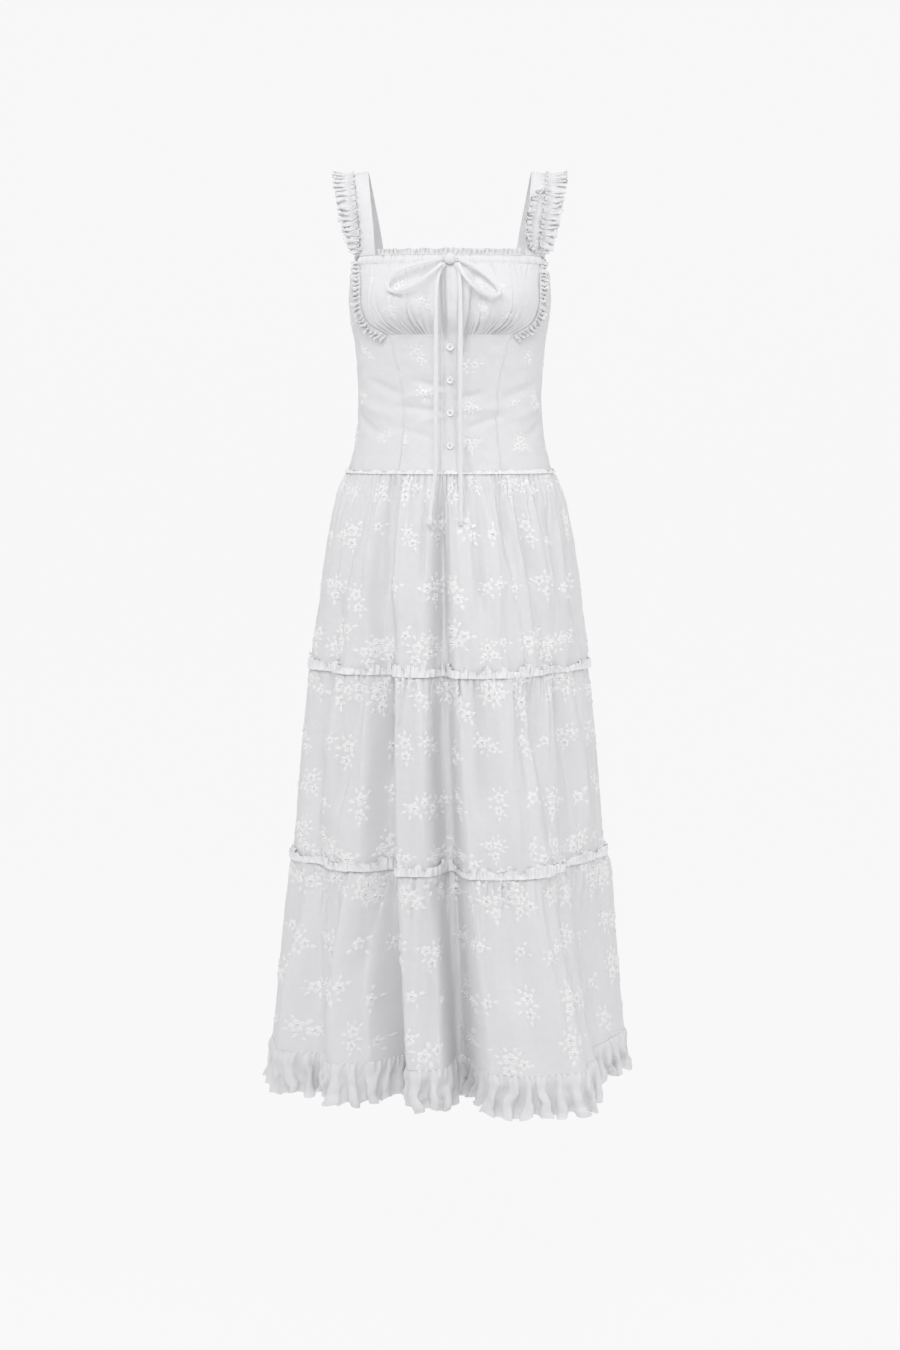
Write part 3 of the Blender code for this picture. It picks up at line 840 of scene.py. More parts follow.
@dataclass(frozen=True)
class Graph:
    """A node tree, with short ways to add nodes to it."""

    tree: bpy.types.NodeTree

    def feed(self, node: bpy.types.Node, inputs: dict) -> None:
        """Gives a node its values and its links.

        Args:
            node: the node.
            inputs: for each input's name or number, its value or the output that feeds it.
        """
        for key, value in inputs.items():
            if isinstance(value, Socket):
                self.tree.links.new(value, node.inputs[key])
            else:
                node.inputs[key].default_value = value

    def node(self, kind: str, inputs: dict | None = None, **settings) -> bpy.types.Node:
        """Adds a node with its settings, its values and its links.

        Args:
            kind: the node's type.
            inputs: for each input's name or number, its value or the output that feeds it.
            **settings: the node's own properties.

        Returns:
            The node.
        """
        node = self.tree.nodes.new(kind)
        for key, value in settings.items():
            setattr(node, key, value)
        self.feed(node, inputs or {})
        return node

    def out(self, kind: str, inputs: dict | None = None, **settings) -> Socket:
        """Adds a node and gives its first output."""
        return self.node(kind, inputs, **settings).outputs[0]

    def math(self, operation: str, first: object, second: object = 0.0) -> Socket:
        """Adds one sum of numbers."""
        return self.out("ShaderNodeMath", {0: first, 1: second}, operation=operation)

    def vector(self, operation: str, first: object, second: object) -> Socket:
        """Adds one sum of vectors. To scale one, the second value is a number."""
        slot = "Scale" if operation == "SCALE" else 1
        return self.out("ShaderNodeVectorMath", {0: first, slot: second}, operation=operation)

    def named(self, name: str, kind: str = "FLOAT") -> Socket:
        """Reads a value that the mesh's points carry."""
        return self.out("GeometryNodeInputNamedAttribute", {"Name": name}, data_type=kind)

    def tint(self, share: Socket, first: str, second: str) -> Socket:
        """Mixes two colours, given as hex digits."""
        inputs = {0: share, 6: srgb(first), 7: srgb(second)}
        return self.node("ShaderNodeMix", inputs, data_type="RGBA").outputs[2]

    def finish(self, geometry: Socket, material: Socket) -> bpy.types.NodeTree:
        """Ends a Geometry Nodes tree.

        Args:
            geometry: what it gives.
            material: the material of all of that.

        Returns:
            The tree.
        """
        solid = self.out("GeometryNodeRealizeInstances", {"Geometry": geometry})
        finished = {"Geometry": solid, "Material": material}
        self.node("NodeGroupOutput", {0: self.out("GeometryNodeSetMaterial", finished)})
        return self.tree


def new_geometry_tree(
    name: str, inputs: dict[str, str], output: str
) -> tuple[Graph, bpy.types.NodeOutputs]:
    """Starts a Geometry Nodes tree.

    Args:
        name: its name.
        inputs: the type of each input, by the input's name.
        output: the name of the geometry that it gives.

    Returns:
        The tree and the sockets of its inputs, by name.
    """
    graph = Graph(bpy.data.node_groups.new(name, "GeometryNodeTree"))
    face = graph.tree.interface
    for key, kind in inputs.items():
        face.new_socket(key, in_out="INPUT", socket_type=f"NodeSocket{kind}")
    face.new_socket(output, in_out="OUTPUT", socket_type="NodeSocketGeometry")
    return graph, graph.node("NodeGroupInput").outputs


def new_material(name: str, values: dict) -> tuple[Material, Graph, bpy.types.Node]:
    """Starts a material.

    Args:
        name: its name.
        values: the values of its shader's inputs, by name.

    Returns:
        The material, its node tree and its shader.
    """
    material = bpy.data.materials.new(name)
    material.use_nodes = True
    graph = Graph(material.node_tree)
    shader = graph.tree.nodes["Principled BSDF"]
    graph.feed(shader, values)
    return material, graph, shader


def apply_tree(
    piece: Piece, tree: bpy.types.NodeTree, values: dict[str, object]
) -> Piece:
    """Runs a node tree on a piece and keeps the result as its plain mesh.

    Args:
        piece: the piece.
        tree: the tree.
        values: a value for each of the tree's inputs, by name.

    Returns:
        The same piece, with its new mesh and no modifier.
    """
    modifier = piece.modifiers.new(tree.name, "NODES")
    modifier.node_group = tree
    for item in tree.interface.items_tree:
        if item.in_out == "INPUT" and item.name in values:
            modifier[item.identifier] = values[item.name]
    graph = bpy.context.evaluated_depsgraph_get()
    made = bpy.data.meshes.new_from_object(piece.evaluated_get(graph))
    piece.modifiers.remove(modifier)
    old, piece.data = piece.data, made
    bpy.data.meshes.remove(old)
    made.name = piece.name
    return piece


def dress_piece(
    piece: Piece,
    material: Material | None,
    nodes: Sequence[str] = (),
) -> Piece:
    """Gives a finished piece its material, its body and the solids that it stands for.

    Args:
        piece: the piece.
        material: its material, or None where it has one.
        nodes: the CAD nodes that it replaces.

    Returns:
        The piece.
    """
    if material is not None:
        piece.data.materials.clear()
        piece.data.materials.append(material)
    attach(piece, "root")
    if nodes:
        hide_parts(*nodes)
    triangles = sum(len(face.vertices) - 2 for face in piece.data.polygons)
    log.info("%s: %d triangles", piece.name, triangles)
    return piece


@dataclass(frozen=True)
class CottonVoile:
    """Bleached cotton voile, plain woven and washed soft.

    To the eye it is a matt, faintly blue white with a light sheen at grazing angles, a dry
    crinkle, and threads that are just too fine to count from a step away.
    """

    name: str = "cotton_voile"
    colour: str = "F5F5F6"
    # the second colour is painted shade: the voile takes it where its crinkle sinks
    shade: str = "F0F0F2"
    roughness: float = 0.92
    sheen: float = 0.10
    see_through: float = 0.22
    thread_pitch: float = 0.0016  # real voile has 0.4 mm: drawn coarser, so that it shows
    crinkle: float = 0.011
    crinkle_depth: float = 0.0011
    weave_depth: float = 0.00022

    def make(self) -> Material:
        """Builds the material."""
        material, graph, shader = new_material(
            self.name,
            {"Roughness": self.roughness, "Sheen Weight": self.sheen, "Sheen Roughness": 0.5,
             "IOR": 1.45, "Specular IOR Level": 0.3},
        )
        flat = graph.node("ShaderNodeTexCoord").outputs["UV"]
        bands = {"Vector": flat, "Scale": 2 * pi / 20 / self.thread_pitch, "Distortion": 0.6,
                 "Detail Scale": 0.3}
        warp, weft = (
            graph.node("ShaderNodeTexWave", bands, bands_direction=way).outputs["Fac"]
            for way in "XY"
        )
        threads = graph.math("MULTIPLY", warp, weft)
        crinkle = graph.out(
            "ShaderNodeTexNoise",
            {"Vector": flat, "Scale": 1 / self.crinkle, "Detail": 3.0, "Roughness": 0.55,
             "Distortion": 0.4},
        )
        soft = graph.out(
            "ShaderNodeBump",
            {"Height": crinkle, "Distance": self.crinkle_depth, "Strength": 0.7},
        )
        fine = graph.out(
            "ShaderNodeBump",
            {"Height": threads, "Distance": self.weave_depth, "Strength": 0.6, "Normal": soft},
        )
        # Painted shade: the crinkle noise that raises the bump also mixes the colour, so the voile
        # is darker where the crinkle sinks
        tint = graph.tint(crinkle, self.shade, self.colour)
        graph.feed(shader, {"Base Color": tint, "Normal": fine})
        through = graph.out("ShaderNodeBsdfTranslucent", {"Color": tint, "Normal": fine})
        blend = graph.out(
            "ShaderNodeMixShader", {0: self.see_through, 1: shader.outputs[0], 2: through}
        )
        graph.feed(graph.tree.nodes["Material Output"], {"Surface": blend})
        return material


@dataclass(frozen=True)
class CottonThread:
    """Mercerised cotton thread, laid in satin stitch or sewn as a seam.

    To the eye it is as white as the voile round it and a little glossier, with fine ridges.
    """

    name: str = "cotton_thread"
    colour: str = "EEEEEF"
    roughness: float = 0.6
    sheen: float = 0.2
    ridge_pitch: float = 0.0008  # real thread is 0.3 mm: drawn coarser, so that it shows
    ridge_depth: float = 0.00008

    def make(self) -> Material:
        """Builds the material."""
        material, graph, shader = new_material(
            self.name,
            {"Base Color": srgb(self.colour), "Roughness": self.roughness,
             "Sheen Weight": self.sheen, "IOR": 1.5},
        )
        place = graph.node("ShaderNodeTexCoord").outputs["Object"]
        ridges = graph.out(
            "ShaderNodeTexNoise",
            {"Vector": place, "Scale": 1 / self.ridge_pitch, "Detail": 1.0},
        )
        bump = graph.out(
            "ShaderNodeBump",
            {"Height": ridges, "Distance": self.ridge_depth, "Strength": 0.5},
        )
        graph.feed(shader, {"Normal": bump})
        return material


@dataclass(frozen=True)
class ShellButton:
    """Polished pearl shell, turned and drilled.

    To the eye it is a warm off-white with soft cloudy bands and a smooth gloss.
    """

    name: str = "pearl_shell"
    colour: str = "F6F6F5"
    band: str = "EEEDEB"
    roughness: float = 0.25
    band_size: float = 0.003

    def make(self) -> Material:
        """Builds the material."""
        material, graph, shader = new_material(
            self.name, {"Roughness": self.roughness, "Coat Weight": 0.3, "IOR": 1.53}
        )
        place = graph.node("ShaderNodeTexCoord").outputs["Object"]
        cloud = graph.out(
            "ShaderNodeTexNoise",
            {"Vector": place, "Scale": 1 / self.band_size, "Detail": 2.0, "Distortion": 1.2},
        )
        graph.feed(shader, {"Base Color": graph.tint(cloud, self.band, self.colour)})
        return material


@dataclass(frozen=True)
class StudioPaper:
    """Seamless white background paper, lit from behind so that it stays even.

    In front of the dress, where the camera doesn't see it, it glows less, so that the light
    on the dress comes from above and in front.
    """

    name: str = "studio_paper"
    colour: str = "303030"
    glow: float = 0.915
    front_glow: float = 0.40
    fade_start: float = -2.4
    fade_end: float = -0.6

    def make(self) -> Material:
        """Builds the material."""
        material, graph, shader = new_material(
            self.name,
            {"Base Color": srgb(self.colour), "Roughness": 0.95, "Specular IOR Level": 0.0,
             "Emission Color": (1.0, 1.0, 1.0, 1.0)},
        )
        place = graph.node("ShaderNodeTexCoord").outputs["Object"]
        depth = graph.node("ShaderNodeSeparateXYZ", {0: place}).outputs[1]
        glow = graph.out(
            "ShaderNodeMapRange",
            {"Value": depth, "From Min": self.fade_start, "From Max": self.fade_end,
             "To Min": self.front_glow, "To Max": self.glow},
        )
        graph.feed(shader, {"Emission Strength": glow})
        return material


@dataclass(frozen=True)
class Studio:
    """The camera at the photograph's angle, the soft lights and the paper behind."""

    camera_place: Point = (0.0, -3.2, -0.345)
    camera_drop: float = 6.512
    focal_pixels: float = 2234.0
    frame_height: float = 1350.0
    sensor: float = 36.0
    floor_height: float = -1.62
    paper_half_width: float = 14.0
    paper_back: float = 9.0
    paper_front: float = -9.0
    paper_bend: float = 2.5
    paper_top: float = 9.0
    world_light: float = 0.43

    def build(self) -> None:
        """Sets up the camera, the lights and the paper."""
        scene = bpy.context.scene
        scene.view_settings.view_transform = "Standard"
        lens = bpy.data.cameras.new("camera")
        lens.sensor_width = self.sensor
        lens.lens = self.sensor * self.focal_pixels / self.frame_height
        camera = bpy.data.objects.new("camera", lens)
        camera.location = self.camera_place
        camera.rotation_euler = (radians(90 - self.camera_drop), 0, 0)
        scene.collection.objects.link(camera)
        scene.camera = camera
        for light in (
            ("front_light", (-0.1, -3.0, 1.20), (0, 0, -0.02), 1.5, 34),
            ("key_light", (-1.0, -1.9, 1.4), (-0.05, 0, -0.05), 1.1, 18),
            ("left_light", (-2.6, -0.9, 0.3), (0, 0, -0.50), 1.4, 8),
            ("right_light", (2.5, -1.1, 0.3), (0, 0, -0.50), 1.4, 19),
            ("top_light", (0.0, -0.4, 1.9), (0, 0, -0.5), 1.6, 7),
        ):
            self.add_light(*light)
        world = bpy.data.worlds.new("studio_air")
        world.use_nodes = True
        air = world.node_tree.nodes["Background"].inputs
        air["Color"].default_value = (1, 1, 1, 1)
        air["Strength"].default_value = self.world_light
        scene.world = world
        self.add_paper()

    def add_light(self, name: str, place: Point, aim: Point, size: float, power: float) -> None:
        """Adds a square soft light.

        Args:
            name: the light's name.
            place: where it stands.
            aim: the point that it faces.
            size: its side.
            power: its power in watts.
        """
        data = bpy.data.lights.new(name, "AREA")
        data.size = size
        data.energy = power
        light = bpy.data.objects.new(name, data)
        light.location = place
        beam = np.array(aim) - np.array(place)
        turn = np.arctan2(beam[0], -beam[1])
        drop = np.arctan2(np.hypot(beam[0], beam[1]), -beam[2])
        light.rotation_euler = (drop, 0, turn + pi)
        bpy.context.scene.collection.objects.link(light)

    def add_paper(self) -> None:
        """Adds the floor, which bends up into the background."""
        bend = np.linspace(0, pi / 2, 13)
        profile = [(self.paper_front, self.floor_height)]
        for angle in bend:
            y = self.paper_back - self.paper_bend * (1 - np.sin(angle))
            profile.append((y, self.floor_height + self.paper_bend * (1 - np.cos(angle))))
        profile.append((self.paper_back, self.paper_top))
        sides = (-self.paper_half_width, self.paper_half_width)
        points = np.array([[(x, y, z) for y, z in profile] for x in sides])
        index = np.arange(2 * len(profile)).reshape(2, len(profile))
        mesh = mesh_from("studio_floor", points.reshape(-1, 3), corners(index, (0, 1, 2, 3)))
        floor = new_piece("studio_floor", mesh)
        floor.data.materials.append(StudioPaper().make())


@dataclass(frozen=True)
class Ribbon:
    """A narrow turned tube of cloth, pressed flat."""

    width: float
    thickness: float
    sides: int = 14
    spacing: float = 0.0025

    def route(self, points: Sequence[Point]) -> Grid:
        """Gives close points on one soft curve through a route's own points."""
        knots = np.array(points, float)
        reach = travelled(knots)
        rows = [RoutedPoint(s, *p) for s, p in zip(reach, knots)]
        along = np.linspace(0, reach[-1], round(reach[-1] / self.spacing) + 1)
        return np.stack([smooth(along, rows, axis) for axis in "xyz"], -1)

    def build(self, name: str, path: Grid, face: Grid, swell: Grid, seed: int) -> Piece:
        """Makes the ribbon along a path.

        Args:
            name: the piece's name.
            path: its centreline.
            face: at each point, the direction that its flat side faces.
            swell: at each point, how much fuller than plain it is.
            seed: the fixed seed of its small unevenness.

        Returns:
            The piece.
        """
        ahead = unit(np.gradient(path, axis=0))
        across = unit(np.cross(ahead, face))
        out = np.cross(across, ahead)
        along = travelled(path)
        uneven = soft_noise(along / 0.012, 0.0 * along, seed)
        width = self.width * (1 + 0.07 * uneven) * (0.45 + 0.55 * swell)
        depth = self.thickness * (1 + 0.25 * uneven) * swell
        around = np.linspace(0, 2 * pi, self.sides, endpoint=False)
        x = np.sign(np.cos(around)) * np.abs(np.cos(around)) ** 0.8
        y = np.sign(np.sin(around)) * np.abs(np.sin(around)) ** 0.8
        pucker = 1 + 0.25 * np.sin(along / 0.0021)[:, None] * np.abs(np.cos(around))[None] ** 6
        rings = (
            path[:, None]
            + across[:, None] * (width[:, None] / 2 * x)[..., None]
            + out[:, None] * (depth[:, None] / 2 * y * pucker)[..., None]
        )
        count = len(path)
        index = np.arange(count * self.sides).reshape(count, self.sides)
        wrapped = np.concatenate([index, index[:, :1]], 1)
        flat_u = np.linspace(0, 2 * self.width, self.sides + 1)
        flat = np.stack(np.meshgrid(along, flat_u, indexing="ij"), -1)
        points = rings.reshape(-1, 3)
        mesh = mesh_from(name, points, corners(wrapped, (0, 3, 2, 1)), corners(flat, (0, 3, 2, 1)))
        shape = bmesh.new()
        shape.from_mesh(mesh)
        bmesh.ops.holes_fill(shape, edges=shape.edges, sides=0)
        bmesh.ops.recalc_face_normals(shape, faces=shape.faces)
        shape.to_mesh(mesh)
        shape.free()
        return new_piece(name, mesh)


@dataclass(frozen=True)
class Drawstring:
    """The bow at the centre of the neckline, with its two loops and its two long ends."""

    cotton: Material
    tie: Ribbon = Ribbon(width=0.006, thickness=0.0020)
    loop: Ribbon = Ribbon(width=0.0052, thickness=0.0015)
    knot_size: Point = (0.0165, 0.0115, 0.0150)
    knot_centre: Point = (0.0, -0.1098, -0.1265)
    end_knot_from_tip: float = 0.008
    end_knot_size: float = 0.0030

    def build(self) -> list[Piece]:
        """Builds the ties, the loops and the knot."""
        return self.ties() + self.loops() + [self.knot()]

    def ties(self) -> list[Piece]:
        """Builds the two ends, each with a small knot near its tip."""
        pieces = []
        for seed, (name, points) in enumerate(TIE_ROUTES.items(), start=3):
            path = self.tie.route(points)
            along = travelled(path)
            length = float(along[-1])
            twist = 0.5 * np.sin(along / length * 2.2 * pi + seed)
            face = np.stack([np.sin(twist), -np.cos(twist), 0 * twist], -1)
            from_tip = length - along
            knot = np.exp(-(((from_tip - self.end_knot_from_tip) / self.end_knot_size) ** 2))
            piece = self.tie.build(f"{name}_ribbon", path, face, 1 + 0.9 * knot, seed)
            dress_piece(piece, self.cotton, [name])
            pieces.append(piece)
        return pieces

    def loops(self) -> list[Piece]:
        """Builds the two loops of the bow, standing on edge at the knot and flat at the turn."""
        pieces = []
        for seed, (name, points) in enumerate(LOOP_ROUTES.items(), start=7):
            path = self.loop.route(points)
            share = np.linspace(0, 1, len(path))
            stand = 0.9 * np.sin(pi * share) ** 2
            face = np.stack([0 * share, -np.cos(stand), np.sin(stand) * (1 - 2 * share)], -1)
            piece = self.loop.build(f"{name}_ribbon", path, face, 1 + 0 * share, seed)
            pieces.append(dress_piece(piece, self.cotton, [name]))
        return pieces

    def knot(self) -> Piece:
        """Builds the knot: a soft lump, creased where the ribbon wraps round it."""
        shape = bmesh.new()
        bmesh.ops.create_uvsphere(shape, u_segments=40, v_segments=28, radius=0.5)
        for vert in shape.verts:
            x, y, z = vert.co
            wrap = 0.06 * np.cos(5.5 * pi * (x + 0.12 * z)) * (1 - 4 * z * z)
            waist = 1 - 0.16 * np.exp(-((z / 0.16) ** 2)) * min(1.0, 2.2 * abs(x))
            grown = [x * waist, y * (1 + wrap * 1.6), z * (1 + wrap * 0.6)]
            vert.co = [c * size for c, size in zip(grown, self.knot_size)]
            vert.co = [c + middle for c, middle in zip(vert.co, self.knot_centre)]
        mesh = mesh_of("bow_knot_wrap", shape)
        mesh.shade_smooth()
        return dress_piece(new_piece("bow_knot_wrap", mesh), self.cotton, ["bow_knot"])


@dataclass(frozen=True)
class Strip:
    """A plain strip of cloth, as grids of what a ruffle waves.

    Its outer points are base. At each of them, reach is how far it is from the sewn edge,
    from 0 to 1, outward is the direction that the waves go out in, along is the distance along
    the strip and sideways is the direction along it. A closed strip's last column joins its
    first.
    """

    base: Grid
    reach: Grid
    outward: Grid
    along: Grid
    sideways: Grid
    closed: bool = False

    def length(self) -> float:
        """Gives the length of an open strip."""
        return float(self.along.max())

    def mirrored(self) -> "Strip":
        """Gives the strip on the wearer's right, still facing out."""
        return Strip(mirrored(self.base), self.reach[::-1], mirrored(self.outward),
                     self.along[::-1], mirrored(self.sideways))


@dataclass(frozen=True)
class Ruffle:
    """A gathered strip: its waves grow from its sewn edge to its free edge."""

    wavelength: float
    depth: float
    swing: float
    unevenness: float = 1.6
    seed: float = 0.0
    pucker: float = 0.0005
    crumple: float = 0.0016

    @staticmethod
    def tree() -> bpy.types.NodeTree:
        """Builds the node tree that waves a strip, or gives the one that is there.

        Returns:
            The tree, whose sizes are a ruffle's own. It reads the strip's values by name.
        """
        name = "wave_a_frill"
        if name in bpy.data.node_groups:
            return bpy.data.node_groups[name]
        inputs = {"Strip": "Geometry"}
        inputs |= {field.name.title(): "Float" for field in fields(Ruffle)}
        graph, given = new_geometry_tree(name, inputs | {"Cloth": "Material"}, "Frill")
        math, vector = graph.math, graph.vector
        along, reach = graph.named("along"), graph.named("reach")
        outward = graph.named("outward", "FLOAT_VECTOR")
        sideways = graph.named("sideways", "FLOAT_VECTOR")
        place = graph.out("GeometryNodeInputPosition")

        def noise(seed: Socket, scale: Socket) -> bpy.types.NodeOutputs:
            """Adds soft noise that isn't the same for two seeds."""
            inputs = {"Vector": place, "W": seed, "Scale": scale, "Detail": 1.0}
            return graph.node("ShaderNodeTexNoise", inputs, noise_dimensions="4D").outputs

        pitch = math("DIVIDE", 0.42, given["Wavelength"])
        slow = noise(given["Seed"], pitch)[0]
        quick = noise(math("ADD", given["Seed"], 7.3), pitch)[0]
        turns = math("MULTIPLY", math("DIVIDE", along, given["Wavelength"]), 2 * pi)
        wander = math("MULTIPLY", given["Unevenness"], 4.0)
        wander = math("MULTIPLY", math("SUBTRACT", slow, 0.5), wander)
        phase = math("ADD", turns, wander)
        fullness = math("ADD", 0.25, math("MULTIPLY", quick, 1.5))
        wave = math("MULTIPLY", math("SINE", phase), fullness)
        grown = math("MULTIPLY", wave, math("POWER", reach, 0.8))
        tight = math("SINE", math("ADD", math("MULTIPLY", phase, 1.7), turns))
        sewn = math("POWER", math("SUBTRACT", 1.0, reach), 1.5)
        pucker = math("MULTIPLY", math("MULTIPLY", tight, sewn), given["Pucker"])
        lift = math("ADD", math("MULTIPLY", grown, given["Depth"]), pucker)
        curl = math("MULTIPLY", math("SINE", math("MULTIPLY", phase, -2.0)), reach)
        aside = vector("SCALE", sideways, math("MULTIPLY", curl, given["Swing"]))
        waved = vector("ADD", vector("SCALE", outward, lift), aside)
        fine = noise(given["Seed"], math("MULTIPLY", pitch, 3.6))[1]
        much = math("MULTIPLY", math("MULTIPLY", given["Crumple"], 3.0), reach)
        crumple = vector("SCALE", vector("SUBTRACT", fine, (0.5, 0.5, 0.5)), much)
        moved = graph.out(
            "GeometryNodeSetPosition",
            {"Geometry": given["Strip"], "Offset": vector("ADD", waved, crumple)},
        )
        return graph.finish(moved, given["Cloth"])

    def build(self, name: str, strip: Strip, cotton: Material) -> Piece:
        """Makes a frill from its plain strip.

        Args:
            name: the piece's name.
            strip: the strip.
            cotton: its material.

        Returns:
            The frill.
        """
        values = {key: getattr(strip, key) for key in ("along", "reach", "outward", "sideways")}
        piece = cloth_shell(name, strip.base, strip.closed, values)
        sizes = {key.title(): value for key, value in asdict(self).items()}
        return apply_tree(piece, self.tree(), sizes | {"Cloth": cotton})

    def build_pair(
        self, kind: str, strip: Strip,
        cotton: Material,
    ) -> list[Piece]:
        """Makes a frill on the wearer's left, and a mirrored one with its own waves.

        Args:
            kind: what the frills are on, as their names begin.
            strip: the plain strip of the left one.
            cotton: their material.

        Returns:
            The two frills.
        """
        made = []
        for number, side in enumerate(("left", "right")):
            plain = strip.mirrored() if number else strip
            ruffle = replace(self, seed=self.seed + number)
            piece = ruffle.build(f"{kind}_ruffle_{side}", plain, cotton)
            dress_piece(piece, None, [f"{kind}_frill_{side}"])
            made.append(piece)
        return made


@dataclass(frozen=True)
class Tier:
    """One gathered tier of the skirt."""

    number: int
    top: float
    bottom: float
    gathers: Gathers
    waves: Gathers
    columns: int = 720
    rows: int = 38

    def relief(self, turn: Grid, height: Grid) -> Grid:
        """Works out the gathers, creases and crinkles that the tier adds to the plain skirt."""
        angle = SKIRT_FORM.angle(turn)
        away = self.top - height
        near_seam = 1 - np.exp(-np.abs(away) / 0.010)
        creases = crease_relief(SKIRT_CREASES, angle, height, 0.19)
        share = angle / (2 * pi) + 0.5
        behind = 0.3 + 0.7 * np.clip(0.5 - 2 * np.cos(angle), 0, 1)
        hidden = self.waves.relief(share, away) * behind
        crinkle = 0.0006 * soft_noise(angle * 16, height / 0.014, self.number)
        crinkle = crinkle + 0.0014 * soft_noise(angle * 24, height / 0.110, self.number + 10)
        crinkle = crinkle + 0.0016 * soft_noise(angle * 9, height / 0.060, self.number + 20)
        return self.gathers.relief(share, away) + near_seam * (creases + hidden + crinkle)

    def points(self, turn: Grid, height: Grid) -> Grid:
        """Gives points of the tier's outer side."""
        return SKIRT_FORM.point(turn, height, self.relief(turn, height))


@dataclass(frozen=True)
class Skirt:
    """The three tiers, the ruffled heading at each seam between them, and the hem frill."""

    cotton: Material
    # the headings' voile: less see-through, as two layers are, and lighter in colour than the plain
    # voile, which is painted light
    doubled: Material
    tiers: tuple[Tier, ...] = (
        Tier(1, DROP_WAIST, SEAM_ONE, Gathers(136, 11, 0.0040, 0.060, 0.22),
             Gathers(22, 31, 0.0090, 0.42, 0.26)),
        Tier(2, SEAM_ONE, SEAM_TWO, Gathers(124, 12, 0.0044, 0.052, 0.20),
             Gathers(24, 32, 0.0105, 0.46, 0.26)),
        Tier(3, SEAM_TWO, HEM_FRILL_TOP, Gathers(124, 13, 0.0048, 0.052, 0.20),
             Gathers(25, 33, 0.0115, 0.52, 0.26)),
    )
    heading_height: float = 0.0125
    waist_heading_height: float = 0.0045
    heading_waves: tuple[int, int, int] = (110, 122, 132)
    heading_columns: int = 920
    heading_rows: int = 5
    hem_waves: int = 70
    hem_columns: int = 1300
    hem_rows: int = 12
    tier_take_up: float = 1.15
    heading_take_up: float = 1.5
    hem_take_up: float = 1.35
    least_cut: float = 0.0105

    def build(self) -> dict[str, Piece]:
        """Builds every piece of the skirt.

        Returns:
            The pieces by name.
        """
        made = [self.tier(tier) for tier in self.tiers]
        made += [self.heading(number) for number in range(3)]
        made.append(self.hem_frill())
        return {piece.name: piece for piece in made}

    def tier(self, tier: Tier) -> Piece:
        """Builds one tier as a closed ring of cloth."""
        top, bottom = tier.top - SEAM_GAP / 2, tier.bottom + SEAM_GAP / 2
        share = np.linspace(0, 1, tier.rows)
        heights = bottom + (top - bottom) * (1 - (1 - share) ** 1.25)
        turn, height = spaced_round(tier.columns, heights)
        outer = tier.points(turn, height)
        piece = cloth_shell(f"tier_{tier.number}", outer, closed=True)
        dress_piece(piece, self.cotton, [f"skirt_tier_{tier.number}"])
        return piece

    @staticmethod
    def girth(ring: Grid) -> float:
        """Gives the length round the middle row of a closed ring."""
        middle = ring[:, ring.shape[1] // 2]
        steps = np.linalg.norm(middle - np.roll(middle, 1, 0), axis=-1)
        return float(steps.sum())

    @staticmethod
    def ring(base: Grid, reach: Grid, outward: Grid) -> Strip:
        """Gives the plain strip of a closed ring."""
        middle = base[:, base.shape[1] // 2]
        steps = np.linalg.norm(np.roll(middle, -1, 0) - middle, axis=-1)
        along = np.append(0, np.cumsum(steps)[:-1])
        sideways = unit(np.roll(base, -1, 0) - np.roll(base, 1, 0))
        along = np.broadcast_to(along[:, None], base.shape[:2])
        return Strip(base, reach, outward, along, sideways, True)

    def heading(self, number: int) -> Piece:
        """Builds the ruffled heading at a seam: 0 at the waist, 1 and 2 between the tiers."""
        tier = self.tiers[max(number - 1, 0)]
        tall = self.heading_height if number else self.waist_heading_height
        foot = tier.bottom - 0.002 if number else tier.top - 0.0015
        turn, share = spaced_round(self.heading_columns, np.linspace(0, 1, self.heading_rows))
        uneven = 1 + 0.50 * soft_noise(turn * 90, 0 * share, 40 + number)
        height = foot + tall * uneven * share
        under = np.clip(height, tier.bottom, tier.top - 0.012 * (number == 0))
        plain = SKIRT_FORM.point(turn, height, 0.5 * tier.relief(turn, under))
        outward = unit(grid_normals(plain, True) * np.array((1.0, 1.0, 0.15)))
        room = np.clip(np.sum(outward * level_out(plain), -1), 0.25, 1)
        size = tall / self.heading_height
        base = plain + outward * (0.0012 + size * (0.0022 - 0.0006 * share))[..., None]
        girth = self.girth(base)
        ruffle = Ruffle(
            girth / self.heading_waves[number], 0.0028 * size, 0.0014 * size, 3.2, 1.0 + number,
            0.0004, 0.0028 * size,
        )
        grown = (0.25 + 0.75 * share) * (0.3 + 0.7 * room)
        name = f"heading_{number}" if number else "waist_heading"
        # the heading takes the lighter voile, whose extra lightness is painted light
        piece = ruffle.build(name, self.ring(base, grown, outward), self.doubled)
        dress_piece(piece, None, [f"seam_frill_{number}"] if number else [])
        max(tall, self.least_cut)
        return piece

    def hem_frill(self) -> Piece:
        """Builds the gathered frill along the hem."""
        tier = self.tiers[2]
        turn, share = spaced_round(self.hem_columns, np.linspace(1, 0, self.hem_rows))
        height = HEM_FRILL_TOP - SEAM_GAP / 2 + share * (HEM - HEM_FRILL_TOP)
        at_seam = tier.relief(turn, np.full_like(turn, HEM_FRILL_TOP))
        sag = 0.0035 * share * soft_noise(turn * 42, 0 * share, 47)
        base = SKIRT_FORM.point(turn, height, at_seam) - np.stack([0 * sag, 0 * sag, sag], -1)
        outward = level_out(grid_normals(base, True))
        base = base + outward * (0.0022 * np.sin(pi * np.minimum(share * 3, 1)))[..., None]
        girth = self.girth(base)
        ruffle = Ruffle(girth / self.hem_waves, 0.0080, 0.0036, 3.6, 9.0, 0.0016, 0.0075)
        piece = ruffle.build("hem_ruffle", self.ring(base, share, outward), self.cotton)
        dress_piece(piece, None, ["hem_frill"])
        return piece


